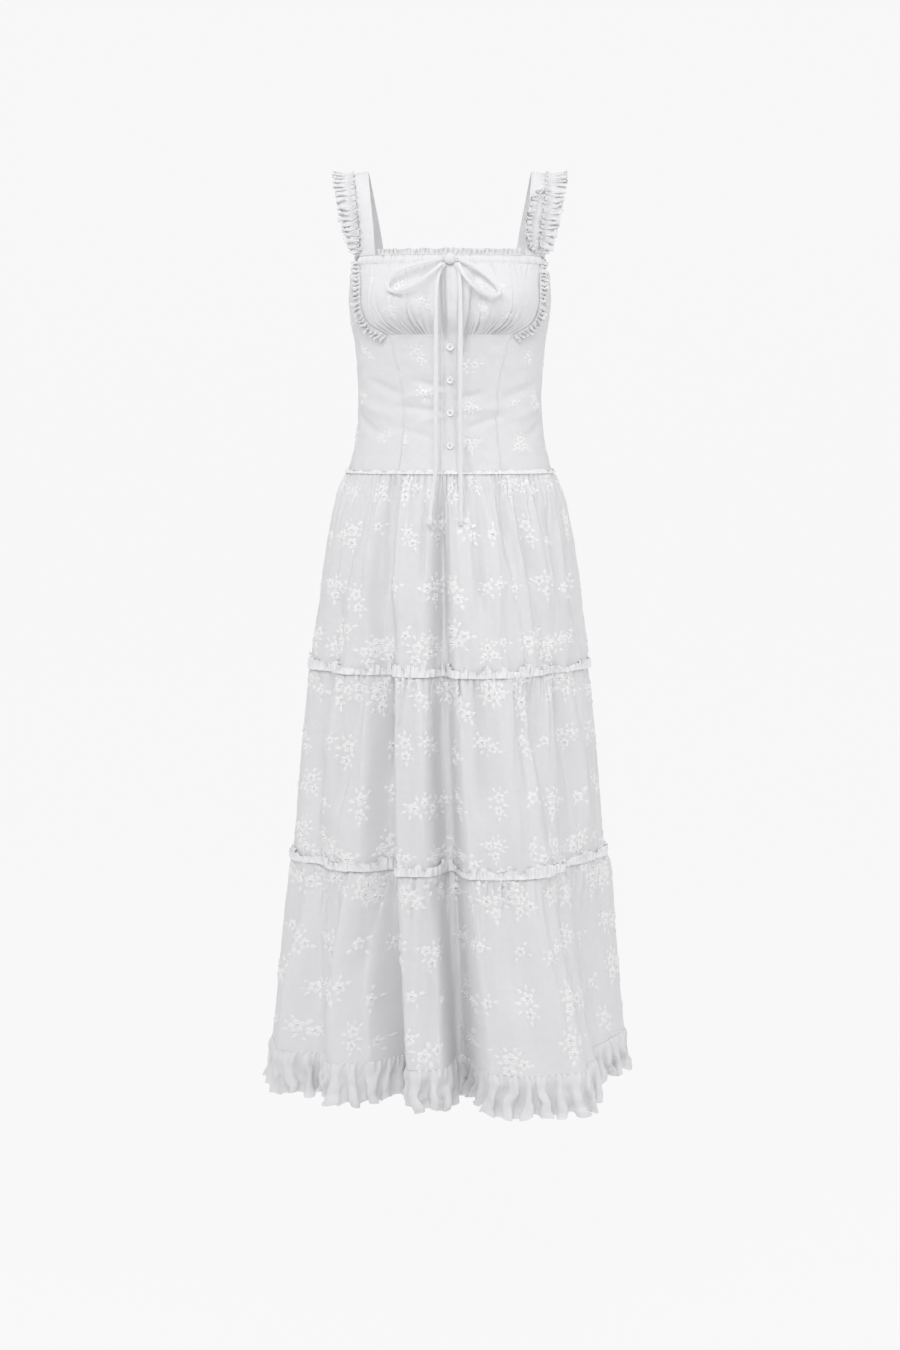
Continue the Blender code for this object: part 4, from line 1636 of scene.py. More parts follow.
@dataclass(frozen=True)
class Bodice:
    """The placket, the cups, and the front, side and back panels between their seams."""

    cotton: Material
    seam_dip: float = 0.0005
    seam_dip_reach: float = 0.0022
    least_share: float = 0.31  # the least area of a panel, as a share of its own rectangle
    cup_gathers: Gathers = Gathers(17, 21, 0.0058, 0.024, 0.17, 0.003)
    neck_gathers: Gathers = Gathers(26, 22, 0.0024, 0.010, 0.17, 0.002)

    def relief(self, angle: Grid, height: Grid) -> Grid:
        """Gives the creases and crinkles of the plain bodice cloth."""
        creases = crease_relief(BODICE_CREASES, angle, height, 0.12)
        crinkle = 0.0004 * soft_noise(angle * 14, height / 0.009, 5)
        drag = 0.0006 * soft_noise(angle * 5, height / 0.012, 6)
        return creases + crinkle + drag * (height < UNDERBUST)

    def panel(
        self, name: str, node: str, start: Edge, end: Edge, bottom: float, top: float,
        columns: int, rows: int, extra: Callable[[Grid, Grid], Grid] | None = None,
    ) -> Piece:
        """Builds one panel of cloth.

        Args:
            name: the piece's name.
            node: the CAD node that it replaces.
            start: its first edge, as an angle at each height.
            end: its last edge.
            bottom: the height of its lower seam.
            top: the height of its upper seam.
            columns: how many points it has across.
            rows: how many points it has up.
            extra: a relief of its own, from its share across and its height.

        Returns:
            The panel.
        """
        share = np.linspace(0, 1, columns)
        heights = np.linspace(bottom + SEAM_GAP / 2, top - SEAM_GAP / 2, rows)
        across, height = np.meshgrid(share, heights, indexing="ij")
        first, last = start(height), end(height)
        angle = first + (last - first) * across
        radius = BODICE_FORM.radius(angle, height)
        to_side = np.minimum(across, 1 - across) * (last - first) * radius
        to_end = np.minimum(height - bottom, top - height)
        dip = np.exp(-((to_side / self.seam_dip_reach) ** 2))
        dip = dip + np.exp(-((to_end / self.seam_dip_reach) ** 2))
        relief = self.relief(angle, height) - self.seam_dip * dip
        if extra is not None:
            relief = relief + extra(across, height)
        piece = cloth_shell(name, BODICE_FORM.point(angle, height, relief))
        dress_piece(piece, self.cotton, [node])
        widest = float(np.max((last - first) * radius))
        area = float(np.mean((last - first) * radius)) * (top - bottom)
        most = widest * (top - bottom)
        area = min(max(area, self.least_share * most), most)
        return piece

    def cup_relief(self, across: Grid, height: Grid) -> Grid:
        """Gives the gathers above a cup's underbust seam and below its neckline."""
        ends = np.sin(pi * np.clip(across, 0, 1)) ** 0.5
        low = self.cup_gathers.relief(across, height - UNDERBUST)
        high = self.neck_gathers.relief(across, CASING_BOTTOM - height)
        return ends * (low + high)

    def build(self) -> dict[str, Piece]:
        """Builds every panel.

        Returns:
            The panels by name.
        """
        made = []
        cup = (UNDERBUST, CASING_BOTTOM, 116, 62, self.cup_relief)
        front = (DROP_WAIST, UNDERBUST, 52, 86)
        side = (DROP_WAIST, UNDERARM, 44, 90)
        opening, seam = BODICE_FORM.placket_edge, BODICE_FORM.cup_seam
        for name, node, first, last, sizes in (
            ("cup_{}_cloth", "cup_{}", opening, seam, cup),
            ("front_{}", "front_panel_{}", opening, seam, front),
            ("side_{}", "side_panel_{}", seam, upright(SIDE_SEAM), side),
        ):
            left = (beside(first, HALF_GAP), beside(last, -HALF_GAP))
            right = (beside(last, -HALF_GAP, -1), beside(first, HALF_GAP, -1))
            for hand, edges in (("left", left), ("right", right)):
                made.append(self.panel(name.format(hand), node.format(hand), *edges, *sizes))
        made.append(
            self.panel(
                "back", "back_panel", beside(upright(SIDE_SEAM), HALF_GAP),
                beside(upright(2 * pi - SIDE_SEAM), -HALF_GAP), DROP_WAIST, UNDERARM, 106, 76,
            )
        )
        made.append(self.placket())
        return {piece.name: piece for piece in made}

    def placket(self) -> Piece:
        """Builds the buttoned band down the centre front, with soft upright folds."""

        def folds(across: Grid, height: Grid) -> Grid:
            """Gives the pressed edges and the soft folds of the band."""
            turned_edges = 0.0009 * (np.abs(across - 0.5) > 0.36)
            folds = 0.0007 * np.sin(across * 9.0 + 1.2 * soft_noise(height / 0.05, across, 9))
            return turned_edges + folds

        return self.panel(
            "placket_band", "placket", beside(BODICE_FORM.placket_edge, -HALF_GAP, -1),
            beside(BODICE_FORM.placket_edge, -HALF_GAP), DROP_WAIST, CASING_BOTTOM, 40, 150,
            folds,
        )


@dataclass(frozen=True)
class Neckline:
    """The shirred casing that the drawstring runs in, and the small frill above it."""

    cotton: Material
    frill_angle: float = 50.0
    shirring: Gathers = Gathers(46, 51, 0.0020, 0.030, 0.34, 0.0008)
    casing_swell: float = 0.0012
    frill_waves: int = 32
    frill_cut: float = 0.0102  # the frill's own height, with what its flare takes up
    casing_take_up: float = 1.3
    frill_take_up: float = 1.5

    def build(self) -> dict[str, Piece]:
        """Builds the casing and the frill.

        Returns:
            The pieces by name.
        """
        pieces = (self.casing(), self.frill())
        return {piece.name: piece for piece in pieces}

    def casing(self) -> Piece:
        """Builds the casing, puffed by the cord inside it and drawn up in fine gathers."""
        end = float(BODICE_FORM.cup_seam(np.array(CASING_TOP))) - HALF_GAP
        share = np.linspace(0, 1, 420)
        heights = np.linspace(CASING_BOTTOM + SEAM_GAP / 2, CASING_TOP - SEAM_GAP / 2, 12)
        across, height = np.meshgrid(share, heights, indexing="ij")
        angle = (2 * across - 1) * end
        up = (height - CASING_BOTTOM) / (CASING_TOP - CASING_BOTTOM)
        puff = np.sin(pi * up)
        relief = self.casing_swell * puff + self.shirring.relief(across, 0.010 + 0 * height)
        relief = relief - 0.0006 * (1 - puff)
        outer = BODICE_FORM.point(angle, height, relief)
        piece = cloth_shell("casing", outer)
        dress_piece(piece, self.cotton, ["neck_casing"])
        length = 2 * end * float(np.mean(BODICE_FORM.radius(angle, height)))
        return piece

    def frill(self) -> Piece:
        """Builds the small frill that stands on the casing."""
        across, up = spaced(520, 7)
        angle = (2 * across - 1) * radians(self.frill_angle)
        uneven = 1 + 0.10 * soft_noise(across * 30, 0 * up, 61)
        height = CASING_TOP + SEAM_GAP / 2 + up * uneven * (NECK_FRILL_TOP - CASING_TOP)
        base = BODICE_FORM.point(angle, height, 0.0010 + 0.0018 * up)
        along = np.broadcast_to(travelled(base[:, 3])[:, None], up.shape)
        sideways = unit(np.gradient(base, axis=0))
        strip = Strip(base, 0.25 + 0.75 * up, level_out(base), along, sideways)
        ruffle = Ruffle(strip.length() / self.frill_waves, 0.0026, 0.0011, 1.6, 3.0)
        piece = ruffle.build("neck_ruffle", strip, self.cotton)
        dress_piece(piece, None, ["neck_frill"])
        cut = (strip.length() * self.frill_take_up, self.frill_cut)
        return piece


@dataclass(frozen=True)
class Straps:
    """The two shoulder straps and the gathered strip along each one's outer edge."""

    cotton: Material
    width: float = 0.030
    slope: float = 0.18
    frill_width: float = 0.019
    frill_lap: float = 0.010
    frill_waves: int = 36
    inner_waves: int = 17
    inner_width: float = 0.013
    take_up: float = 1.7

    def frame(self, along: Grid) -> tuple[Grid, Grid, Grid]:
        """Gives the strap's middle line, the way across it and the way out of it.

        Args:
            along: places along the strap, from 0 at the front to 1 at the back.

        Returns:
            The points of the middle line, and two unit vectors at each.
        """

        def middle(at: Grid) -> Grid:
            """Gives points of the middle line."""
            return np.stack([smooth(at, STRAP, axis) for axis in "xyz"], -1)

        turn = np.radians(smooth(along, STRAP, "turn"))
        lean = self.slope * np.sin(pi * np.clip(along, 0, 1))
        across = unit(np.stack([np.cos(turn), np.sin(turn), -lean], -1))
        step = 1e-3
        ahead = middle(np.minimum(along + step, 1)) - middle(np.maximum(along - step, 0))
        return middle(along), across, unit(np.cross(across, ahead))

    def build(self) -> dict[str, Piece]:
        """Builds both straps.

        Returns:
            The pieces by name.
        """
        pieces = [*self.bands(), *self.frills()]
        return {piece.name: piece for piece in pieces}

    def length(self) -> float:
        """Gives the length of the strap's middle line."""
        middle = self.frame(np.linspace(0, 1, 200))[0]
        return float(np.linalg.norm(np.diff(middle, axis=0), axis=-1).sum())

    def bands(self) -> list[Piece]:
        """Builds the plain bands, softly creased where the shoulder bends them."""
        across_share, along = spaced(24, 150)
        middle, across, out = self.frame(along)
        edge = 1 - np.abs(2 * across_share - 1)
        drag = 0.0005 * soft_noise(across_share * 3, along * 26, 71)
        pucker = 0.0009 * soft_noise(across_share * 2, along * 60, 72)
        relief = 0.0012 * edge**0.5 + drag + pucker * (across_share > 0.55)
        outer = middle + across * ((across_share - 0.5) * self.width)[..., None]
        outer = outer + out * (relief - 0.0010)[..., None]
        pieces = []
        for side, grid in (("left", outer), ("right", mirrored(outer))):
            piece = cloth_shell(f"strap_band_{side}", grid)
            dress_piece(piece, self.cotton, [f"strap_{side}"])
            self.length()
            pieces.append(piece)
        return pieces

    def strip(self, low: float, high: float, start: float, end: float, rows: int) -> Strip:
        """Gives a plain strip that lies along the strap, with its values for the ruffle.

        Args:
            low: its first edge, measured across the strap from the strap's outer edge.
            high: its last edge.
            start: where it starts along the strap, from 0 to 1.
            end: where it ends.
            rows: how many points it has along the strap.

        Returns:
            The strip.
        """
        share, place = spaced(15, rows)
        along = start + (end - start) * place
        middle, across, out = self.frame(along)
        aside = low + (high - low) * share
        reach = np.abs(aside) / max(abs(low), abs(high))
        lifted = 0.0012 + 0.0060 * reach * (aside > 0) + 0.0030 * reach * (aside <= 0)
        ends = np.sin(pi * np.clip(place, 0, 1)) ** 0.25
        base = middle + across * (self.width / 2 + aside * ends)[..., None]
        base = base + out * lifted[..., None]
        gone = np.broadcast_to(travelled(base[3])[None], reach.shape)
        return Strip(base, reach, out, gone, unit(np.gradient(base, axis=1)))

    def frills(self) -> list[Piece]:
        """Builds the gathered strips, sewn down along the straps' outer edges.

        The lower front of the wearer's left strap has one along its inner edge too.
        """
        strip = self.strip(-self.frill_lap, self.frill_width, 0.02, 0.98, 380)
        length = strip.length()
        ruffle = Ruffle(length / self.frill_waves, 0.0032, 0.0024, 3.0, 14.0, 0.0012, 0.0036)
        pieces = ruffle.build_pair("strap", strip, self.cotton)
        inner = self.strip(-self.width + 0.008, -self.width - 0.005, 0.02, 0.36, 150)
        reach = np.broadcast_to(np.linspace(1, 0.1, 15)[:, None], inner.reach.shape)
        inner = Strip(inner.base[::-1], reach, inner.outward[::-1], inner.along[::-1],
                      inner.sideways[::-1])
        length = inner.length()
        ruffle = Ruffle(length / self.inner_waves, 0.0026, 0.0020, 3.0, 17.0, 0.0010, 0.0028)
        piece = dress_piece(ruffle.build("strap_inner_ruffle", inner, self.cotton), None)
        return [*pieces, piece]


@dataclass(frozen=True)
class CupFrills:
    """The gathered strip along the curved seam beside each cup."""

    cotton: Material
    width: float = 0.0135
    waves: int = 20
    take_up: float = 1.8

    def build(self) -> dict[str, Piece]:
        """Builds both strips.

        Returns:
            The pieces by name.
        """
        share, place = spaced(11, 220)
        height = UNDERBUST - 0.002 + place * (CASING_TOP - 0.002 - UNDERBUST)
        swing = self.width / 0.145 * (0.75 + 0.25 * np.sin(pi * place))
        angle = BODICE_FORM.cup_seam(height) + HALF_GAP + swing * share
        lowered = height - 0.010 * share * (1 - place)
        base = BODICE_FORM.point(angle, lowered, 0.0012 + 0.0030 * share)
        along = np.broadcast_to(travelled(base[3])[None], share.shape)
        strip = Strip(base, share, level_out(base), along, unit(np.gradient(base, axis=1)))
        length = strip.length()
        ruffle = Ruffle(length / self.waves, 0.0028, 0.0018, 2.8, 20.0, 0.0005, 0.0040)
        made = ruffle.build_pair("cup", strip, self.cotton)
        return {piece.name: piece for piece in made}


@dataclass(frozen=True)
class Buttons:
    """Four small shell buttons down the placket."""

    shell: Material
    diameter: float = 0.010
    thickness: float = 0.0026
    dish: float = 0.0007
    hole: float = 0.0007
    hole_spread: float = 0.0012
    count: int = 4

    def build(self) -> list[Piece]:
        """Builds the buttons where the solids' buttons are."""
        return [self.button(number) for number in range(1, self.count + 1)]

    def button(self, number: int) -> Piece:
        """Builds one button: a turned disc with a raised rim, a dish and four drilled holes."""
        node = f"button_{number}"
        low, high = (np.array(corner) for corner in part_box(node))
        centre = (low + high) / 2
        radius, half = self.diameter / 2, self.thickness / 2
        profile = (
            (0.0, half - self.dish),
            (radius * 0.60, half - self.dish),
            (radius * 0.72, half - 0.0001),
            (radius * 0.86, half),
            (radius * 0.97, half * 0.62),
            (radius, 0.0),
            (radius * 0.93, -half * 0.7),
            (radius * 0.70, -half),
            (0.0, -half),
        )
        shape = bmesh.new()
        rim = [shape.verts.new((r, -z, 0)) for r, z in profile]
        edges = [shape.edges.new(pair) for pair in zip(rim, rim[1:])]
        bmesh.ops.spin(
            shape, geom=rim + edges, cent=(0, 0, 0), axis=(0, 1, 0), angle=2 * pi, steps=36,
        )
        bmesh.ops.remove_doubles(shape, verts=shape.verts, dist=1e-6)
        bmesh.ops.recalc_face_normals(shape, faces=shape.faces)
        piece = new_piece(f"shell_{node}", mesh_of(f"shell_{node}", shape))
        drill = self.drill()
        cut = piece.modifiers.new("holes", "BOOLEAN")
        cut.object = drill
        graph = bpy.context.evaluated_depsgraph_get()
        made = bpy.data.meshes.new_from_object(piece.evaluated_get(graph))
        piece.modifiers.remove(cut)
        piece.data = made
        bpy.data.objects.remove(drill, do_unlink=True)
        for vert in made.vertices:
            vert.co = [c + place for c, place in zip(vert.co, centre)]
        made.shade_smooth()
        made.set_sharp_from_angle(angle=radians(40))
        return dress_piece(piece, self.shell, [node])

    def drill(self) -> Piece:
        """Builds the four pins that cut the holes."""
        shape = bmesh.new()
        for number in range(4):
            angle = pi / 4 + number * pi / 2
            made = bmesh.ops.create_cone(
                shape, cap_ends=True, segments=10, radius1=self.hole, radius2=self.hole,
                depth=self.thickness * 2,
            )
            for vert in made["verts"]:
                x, y, z = vert.co
                vert.co = (
                    x + self.hole_spread * np.cos(angle),
                    z,
                    y + self.hole_spread * np.sin(angle),
                )
        bmesh.ops.recalc_face_normals(shape, faces=shape.faces)
        return new_piece("drill", mesh_of("drill", shape))


class Sprig(Enum):
    """The embroidered motifs, by their place in the collection that holds them."""

    SPRAY = 0
    BUNCH = 1
    SINGLE = 2


@dataclass(frozen=True)
class Embroidery:
    """White satin-stitch flowers and leaves, scattered over the cloth in staggered rows."""

    thread: Material
    relief: float = 0.0014
    jitter: float = 0.015

    def stud(
        self, shape: bmesh.types.BMesh, centre: tuple[float, float], size: tuple[float, float],
        turn: float, points: int = 7, height: float = 1.0,
    ) -> None:
        """Adds one padded patch of satin stitch: a closed dome, sunk a little in the cloth.

        Args:
            shape: the motif's mesh.
            centre: the patch's middle, on the flat cloth.
            size: its length and its width.
            turn: the way that its length points, in radians.
            points: how many points it has round its edge.
            height: its height, as a share of the usual relief.
        """
        around = np.linspace(0, 2 * pi, points, endpoint=False)
        x = size[0] / 2 * np.cos(around)
        y = size[1] / 2 * np.sin(around) * (1 - 0.18 * np.cos(around))
        rim = [
            shape.verts.new((
                centre[0] + a * np.cos(turn) - b * np.sin(turn),
                centre[1] + a * np.sin(turn) + b * np.cos(turn),
                0.0001,
            ))
            for a, b in zip(x, y)
        ]
        top = shape.verts.new((*centre, self.relief * height))
        base = shape.verts.new((*centre, -0.0004))
        for first, second in zip(rim, rim[1:] + rim[:1]):
            shape.faces.new((first, second, top))
            shape.faces.new((second, first, base))

    def flower(
        self, shape: bmesh.types.BMesh, centre: tuple[float, float], radius: float, turn: float
    ) -> None:
        """Adds a full flower: five petals, with five small ones inside them."""
        for petal in range(5):
            angle = turn + petal * 2 * pi / 5
            for far, off, long, wide, *rest in (
                (0.62, 0.0, 0.80, 0.80), (0.30, 0.63, 0.42, 0.40, 5, 1.5)
            ):
                x = centre[0] + far * radius * np.cos(angle + off)
                y = centre[1] + far * radius * np.sin(angle + off)
                self.stud(shape, (x, y), (long * radius, wide * radius), angle, *rest)

    def motif(self, sprig: Sprig) -> Piece:
        """Builds one motif flat on the plane of X and Y, in real size."""
        shape = bmesh.new()
        mm = 0.001
        flowers = {
            Sprig.SPRAY: ((-4, 5, 8.6, 0.3), (10, -5, 7.4, 1.0)),
            Sprig.BUNCH: ((0, 7, 8.4, 0.9), (8.5, -6, 7.4, 0.2), (-9, -5, 7.6, 0.6)),
            Sprig.SINGLE: ((0, 0, 7.4, 0.5),),
        }[sprig]
        leaves = {
            Sprig.SPRAY: (
                (-8, -7, 9, 225), (8, 7, 9, 45), (-16, 4, 8, 185), (19, -11, 8, -35),
                (0, -13, 7, -80), (-6, 17, 7, 110), (-14, 13, 7, 140), (19, 0, 7, 15),
            ),
            Sprig.BUNCH: (
                (2, 19, 8, 85), (-12, 8, 8, 150), (12, 8, 8, 25), (0, -13, 8, -90),
                (-17, -12, 8, 215), (17, -13, 8, -38), (10, 15, 7, 50), (-10, 16, 7, 125),
            ),
            Sprig.SINGLE: ((-9, -8, 8, 220), (10, 7, 8, 35), (10, -8, 7, -40)),
        }[sprig]
        for x, y, radius, turn in flowers:
            self.flower(shape, (x * mm, y * mm), radius * mm, turn)
        for x, y, length, turn in leaves:
            self.stud(shape, (x * mm, y * mm), (length * mm, length * 0.60 * mm), radians(turn), 6)
        mesh = mesh_of(f"motif_{sprig.value}", shape)
        mesh.shade_smooth()
        mesh.set_sharp_from_angle(angle=radians(60))
        return bpy.data.objects.new(f"motif_{sprig.value}", mesh)

    def tree(self) -> bpy.types.NodeTree:
        """Builds the tree that sets motifs on flat points and lays them on the cloth."""
        inputs = {"Layout": "Geometry", "Cloth": "Object", "Motifs": "Collection",
                  "Size": "Float", "Thread": "Material"}
        graph, given = new_geometry_tree("lay_sprigs_on_cloth", inputs, "Sprigs")
        cloth = graph.node("GeometryNodeObjectInfo", {"Object": given["Cloth"]})
        motifs = graph.out(
            "GeometryNodeCollectionInfo",
            {"Collection": given["Motifs"], "Separate Children": True, "Reset Children": True},
        )
        instances = graph.out(
            "GeometryNodeInstanceOnPoints",
            {"Points": given["Layout"], "Instance": motifs, "Pick Instance": True,
             "Instance Index": graph.named("kind", "INT"),
             "Rotation": graph.out("ShaderNodeCombineXYZ", {"Z": graph.named("spin")}),
             "Scale": graph.math("MULTIPLY", graph.named("size"), given["Size"])},
        )
        flat = graph.out("GeometryNodeRealizeInstances", {"Geometry": instances})
        place = graph.out("GeometryNodeInputPosition")
        parts = graph.node("ShaderNodeSeparateXYZ", {0: place}).outputs
        spot = graph.out("ShaderNodeCombineXYZ", {"X": parts[0], "Y": parts[1]})
        chart = graph.named("UVMap", "FLOAT_VECTOR")
        found, normal = (
            graph.node(
                "GeometryNodeSampleUVSurface",
                {"Mesh": cloth.outputs["Geometry"], "Value": field, "Source UV Map": chart,
                 "Sample UV": spot},
                data_type="FLOAT_VECTOR",
            ).outputs
            for field in (place, graph.out("GeometryNodeInputNormal"))
        )
        stored = graph.out(
            "GeometryNodeStoreNamedAttribute",
            {"Geometry": flat, "Name": "laid", "Value": found[1]},
            data_type="BOOLEAN", domain="POINT",
        )
        lift = graph.vector("SCALE", normal[0], parts[2])
        target = graph.vector("ADD", found[0], lift)
        laid = graph.out("GeometryNodeSetPosition", {"Geometry": stored, "Position": target})
        off = graph.out(
            "FunctionNodeBooleanMath", {0: graph.named("laid", "BOOLEAN")}, operation="NOT"
        )
        trimmed = graph.out(
            "GeometryNodeDeleteGeometry", {"Geometry": laid, "Selection": off}, domain="POINT"
        )
        return graph.finish(trimmed, given["Thread"])

    def layout(self, name: str, cloth: Piece, rows: Sequence[float], seed: int,
               step: float, margin: float, spread: float = 0.8) -> Piece:
        """Scatters flat points over a cloth's own map, in staggered rows.

        Args:
            name: the piece's name.
            cloth: the cloth.
            rows: the height of each row on the map, from the cloth's top edge down.
            seed: the fixed seed of the scatter.
            step: the distance between sprigs in a row.
            margin: how far a sprig's middle stays from the cloth's side edges.
            spread: how much more a sprig strays up and down than along its row.

        Returns:
            The points, as a mesh with no faces.
        """
        layer = cloth.data.uv_layers["UVMap"].uv
        flat = np.empty(2 * len(layer), np.float32)
        layer.foreach_get("vector", flat)
        across = flat.reshape(-1, 2)[:, 0]
        across = across[across > -HIDDEN_LAYER_SHIFT / 2]
        low, high = float(across.min()) + margin, float(across.max()) - margin
        rng = np.random.default_rng(seed)
        points, kinds, spins, sizes = [], [], [], []
        for number, row in enumerate(rows):
            count = max(1, round((high - low) / step))
            for k in range(count):
                u = low + (high - low) * (k + (0.5 if number % 2 else 0.15)) / count
                u += rng.uniform(-self.jitter, self.jitter)
                v = row + rng.uniform(-self.jitter, self.jitter) * spread
                points.append((u, v, 0.0))
                kinds.append(int(rng.choice(3, p=(0.42, 0.30, 0.28))))
                spins.append(rng.uniform(-1.1, 1.1))
                sizes.append(rng.uniform(0.82, 1.14))
        mesh = bpy.data.meshes.new(name)
        mesh.from_pydata(points, [], [])
        for key, kind, values in (
            ("kind", "INT", kinds), ("spin", "FLOAT", spins), ("size", "FLOAT", sizes)
        ):
            mesh.attributes.new(key, kind, "POINT").data.foreach_set("value", values)
        return new_piece(name, mesh)

    def build(self, cloths: dict[str, Piece]) -> list[Piece]:
        """Embroiders the cloth.

        Args:
            cloths: every piece of cloth, by name.

        Returns:
            The embroidered pieces.
        """
        motifs = bpy.data.collections.new("motifs")
        for sprig in Sprig:
            motifs.objects.link(self.motif(sprig))
        tree = self.tree()
        plans = (
            ("tier_1", (-0.020, -0.088, -0.168, -0.236, -0.246), 0.056, 0.0, 1.05),
            ("tier_2", (-0.016, -0.034, -0.100, -0.176, -0.244, -0.256), 0.060, 0.0, 1.15),
            ("tier_3", (-0.016, -0.036, -0.106, -0.176, -0.244), 0.062, 0.0, 1.22),
            ("front_left", (-0.040, -0.098, -0.160), 0.046, 0.012, 0.72),
            ("front_right", (-0.034, -0.092, -0.154), 0.046, 0.012, 0.72),
            ("side_left", (-0.070, -0.130, -0.192, -0.250), 0.046, 0.012, 0.72),
            ("side_right", (-0.064, -0.124, -0.186, -0.246), 0.046, 0.012, 0.72),
            ("back", (-0.040, -0.100, -0.160, -0.220), 0.052, 0.014, 0.8),
            ("cup_left_cloth", (-0.038, -0.076), 0.046, 0.014, 0.66),
            ("cup_right_cloth", (-0.034, -0.072), 0.046, 0.014, 0.66),
        )
        made = []
        for seed, (name, rows, step, margin, size) in enumerate(plans, start=100):
            piece = self.layout(f"sprigs_{name}", cloths[name], rows, seed, step, margin)
            values = {"Cloth": cloths[name], "Motifs": motifs, "Size": size, "Thread": self.thread}
            apply_tree(piece, tree, values)
            made.append(dress_piece(piece, None))
        for motif in list(motifs.objects):
            bpy.data.objects.remove(motif, do_unlink=True)
        bpy.data.collections.remove(motifs)
        return made


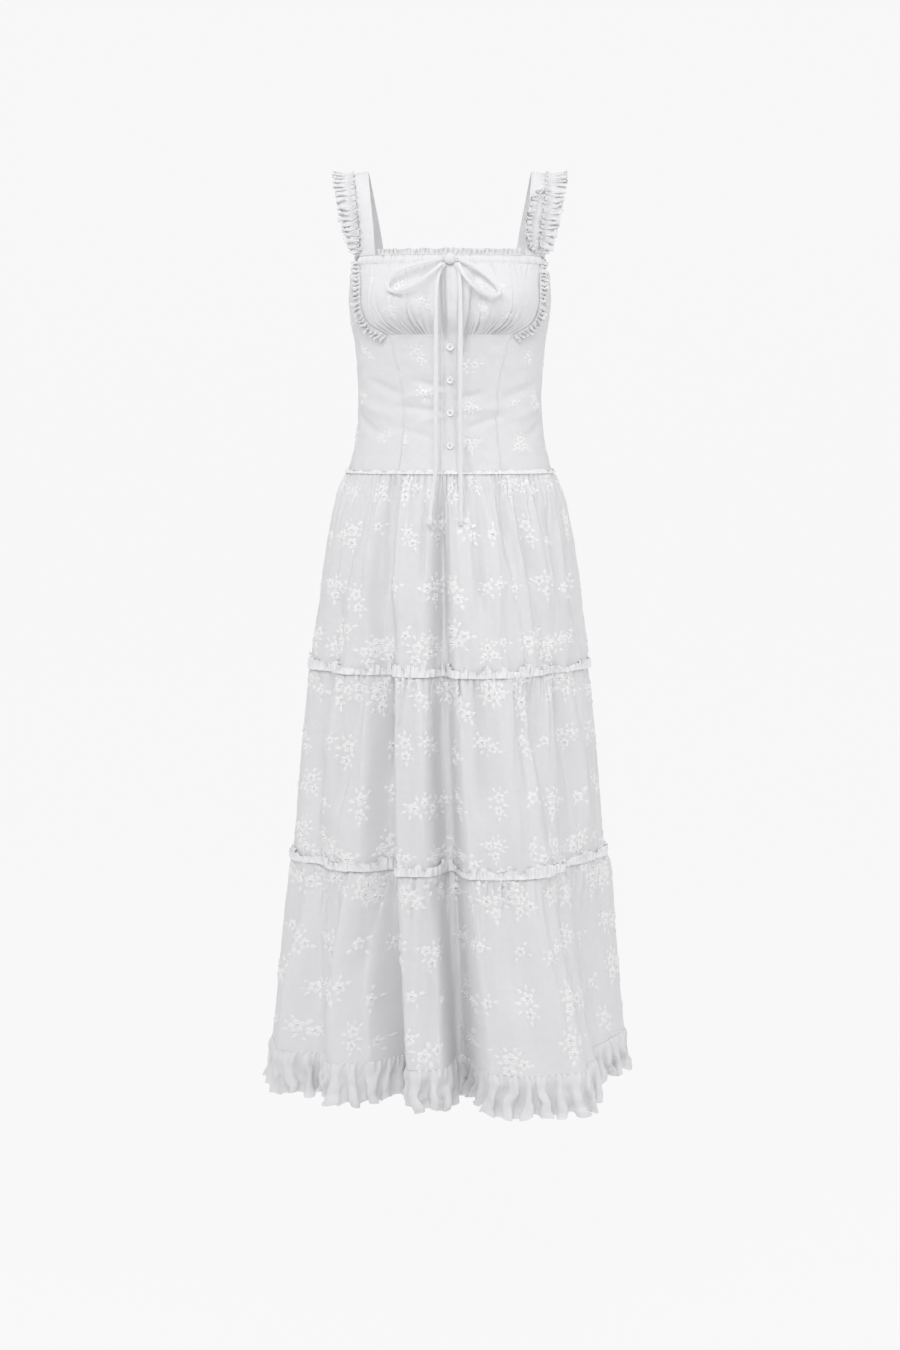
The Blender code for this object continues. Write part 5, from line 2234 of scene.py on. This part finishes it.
@dataclass(frozen=True)
class Stitching:
    """The rows of machine stitches along the seams, the placket and the straps."""

    thread: Material
    pitch: float = 0.0036
    length: float = 0.0026
    thickness: float = 0.0007  # real thread is 0.3 mm: drawn coarser, so that it shows
    lift: float = 0.0002

    def tree(self) -> bpy.types.NodeTree:
        """Builds the tree that sets a stitch at every pitch along lines."""
        inputs = {"Lines": "Geometry", "Pitch": "Float", "Length": "Float",
                  "Thickness": "Float", "Thread": "Material"}
        graph, given = new_geometry_tree("sew_along_lines", inputs, "Stitches")
        curve = graph.out("GeometryNodeMeshToCurve", {"Mesh": given["Lines"]})
        even = graph.out(
            "GeometryNodeResampleCurve", {"Curve": curve, "Length": given["Pitch"]},
            mode="LENGTH",
        )
        turn = graph.out(
            "FunctionNodeAxesToRotation",
            {"Primary Axis": graph.out("GeometryNodeInputTangent"),
             "Secondary Axis": graph.named("outward", "FLOAT_VECTOR")},
            primary_axis="X", secondary_axis="Z",
        )
        bead = graph.out("GeometryNodeMeshUVSphere", {"Segments": 5, "Rings": 4, "Radius": 0.5})
        size = graph.out(
            "ShaderNodeCombineXYZ",
            {"X": given["Length"], "Y": given["Thickness"], "Z": given["Thickness"]},
        )
        stitches = graph.out(
            "GeometryNodeInstanceOnPoints",
            {"Points": even, "Instance": bead, "Rotation": turn, "Scale": size},
        )
        return graph.finish(stitches, given["Thread"])

    def lines_on_bodice(self) -> list[Line]:
        """Gives the sewn lines of the bodice: beside the placket, the seams and the edges."""
        lines = []
        body = Bodice(self.thread)

        def add(angle: Grid, height: Grid) -> None:
            """Adds a line at angles and heights."""
            angle, height = np.broadcast_arrays(angle, height)
            points = BODICE_FORM.point(angle, height, body.relief(angle, height) + self.lift)
            lines.append((points, level_out(points)))

        down = np.linspace(UNDERBUST - 0.004, DROP_WAIST + 0.004, 80)
        whole = np.linspace(CASING_BOTTOM - 0.003, DROP_WAIST + 0.003, 110)
        for side in (-1, 1):
            add(side * (BODICE_FORM.placket_edge(whole) - 0.020), whole)
            add(side * (BODICE_FORM.cup_seam(down) + 0.016), down)
            add(side * (BODICE_FORM.cup_seam(down) - 0.016), down)
            low, high = BODICE_FORM.placket_edge(np.array(UNDERBUST)), radians(45)
            span = np.linspace(float(low) + 0.01, high, 60)
            add(side * span, np.full(60, UNDERBUST - 0.0026))
            arm = np.linspace(BODICE_FORM.cup_seam(np.array(UNDERARM)) + 0.02, SIDE_SEAM, 50)
            add(side * arm, np.full(50, UNDERARM - 0.0030))
        behind = np.linspace(SIDE_SEAM + 0.01, 2 * pi - SIDE_SEAM - 0.01, 120)
        add(behind, np.full(120, UNDERARM - 0.0030))
        add(np.linspace(-pi, pi, 360), np.full(360, DROP_WAIST + 0.0030))
        return lines

    def lines_on_straps(self, straps: Straps) -> list[Line]:
        """Gives the sewn lines of the straps: along both edges of each band."""
        lines = []
        along = np.linspace(0.01, 0.99, 160)
        middle, across, out = straps.frame(along)
        for aside in (-0.5 * straps.width + 0.002, 0.5 * straps.width - 0.004):
            for side in (1.0, -1.0):
                flip = np.array((side, 1.0, 1.0))
                lines.append(((middle + across * aside + out * 0.0002) * flip, out * flip))
        return lines

    def build(self, skirt: Skirt, straps: Straps) -> Piece:
        """Sews every line.

        Args:
            skirt: the skirt, whose seams are sewn too.
            straps: the straps.

        Returns:
            All the stitches as one piece.
        """
        lines = self.lines_on_bodice() + self.lines_on_straps(straps)
        turns = np.linspace(-0.5, 0.5, 700)
        for tier in skirt.tiers:
            height = np.full(700, tier.top - 0.0035)
            points = tier.points(turns, height)
            out = level_out(points)
            lines.append((points + out * self.lift, out))
        points = np.concatenate([line[0] for line in lines])
        outward = np.concatenate([line[1] for line in lines])
        edges, start = [], 0
        for line, _ in lines:
            edges += [(start + k, start + k + 1) for k in range(len(line) - 1)]
            start += len(line)
        mesh = bpy.data.meshes.new("seam_stitches")
        mesh.from_pydata(points.tolist(), edges, [])
        values = mesh.attributes.new("outward", "FLOAT_VECTOR", "POINT").data
        values.foreach_set("vector", outward.ravel())
        piece = new_piece("seam_stitches", mesh)
        sizes = {"Pitch": self.pitch, "Length": self.length, "Thickness": self.thickness,
                 "Thread": self.thread}
        return dress_piece(apply_tree(piece, self.tree(), sizes), None)


def main() -> None:
    """Builds the studio and every piece of the dress."""
    logging.basicConfig(level=logging.INFO, format="%(message)s")
    Studio().build()
    cotton = CottonVoile().make()
    thread = CottonThread().make()
    shell = ShellButton().make()
    # The headings' voile is less see-through, as two layers are, and lighter in colour than the
    # plain voile: the lighter colour is painted light on the headings
    doubled = CottonVoile("doubled_voile", "F8F8F9", "F1F1F3", see_through=0.08).make()
    Drawstring(cotton).build()
    skirt = Skirt(cotton, doubled)
    straps = Straps(cotton)
    cloths = skirt.build()
    cloths |= Bodice(cotton).build()
    cloths |= Neckline(cotton).build()
    cloths |= straps.build()
    cloths |= CupFrills(cotton).build()
    Buttons(shell).build()
    Embroidery(thread).build(cloths)
    Stitching(thread).build(skirt, straps)


if __name__ == "__main__":
    main()
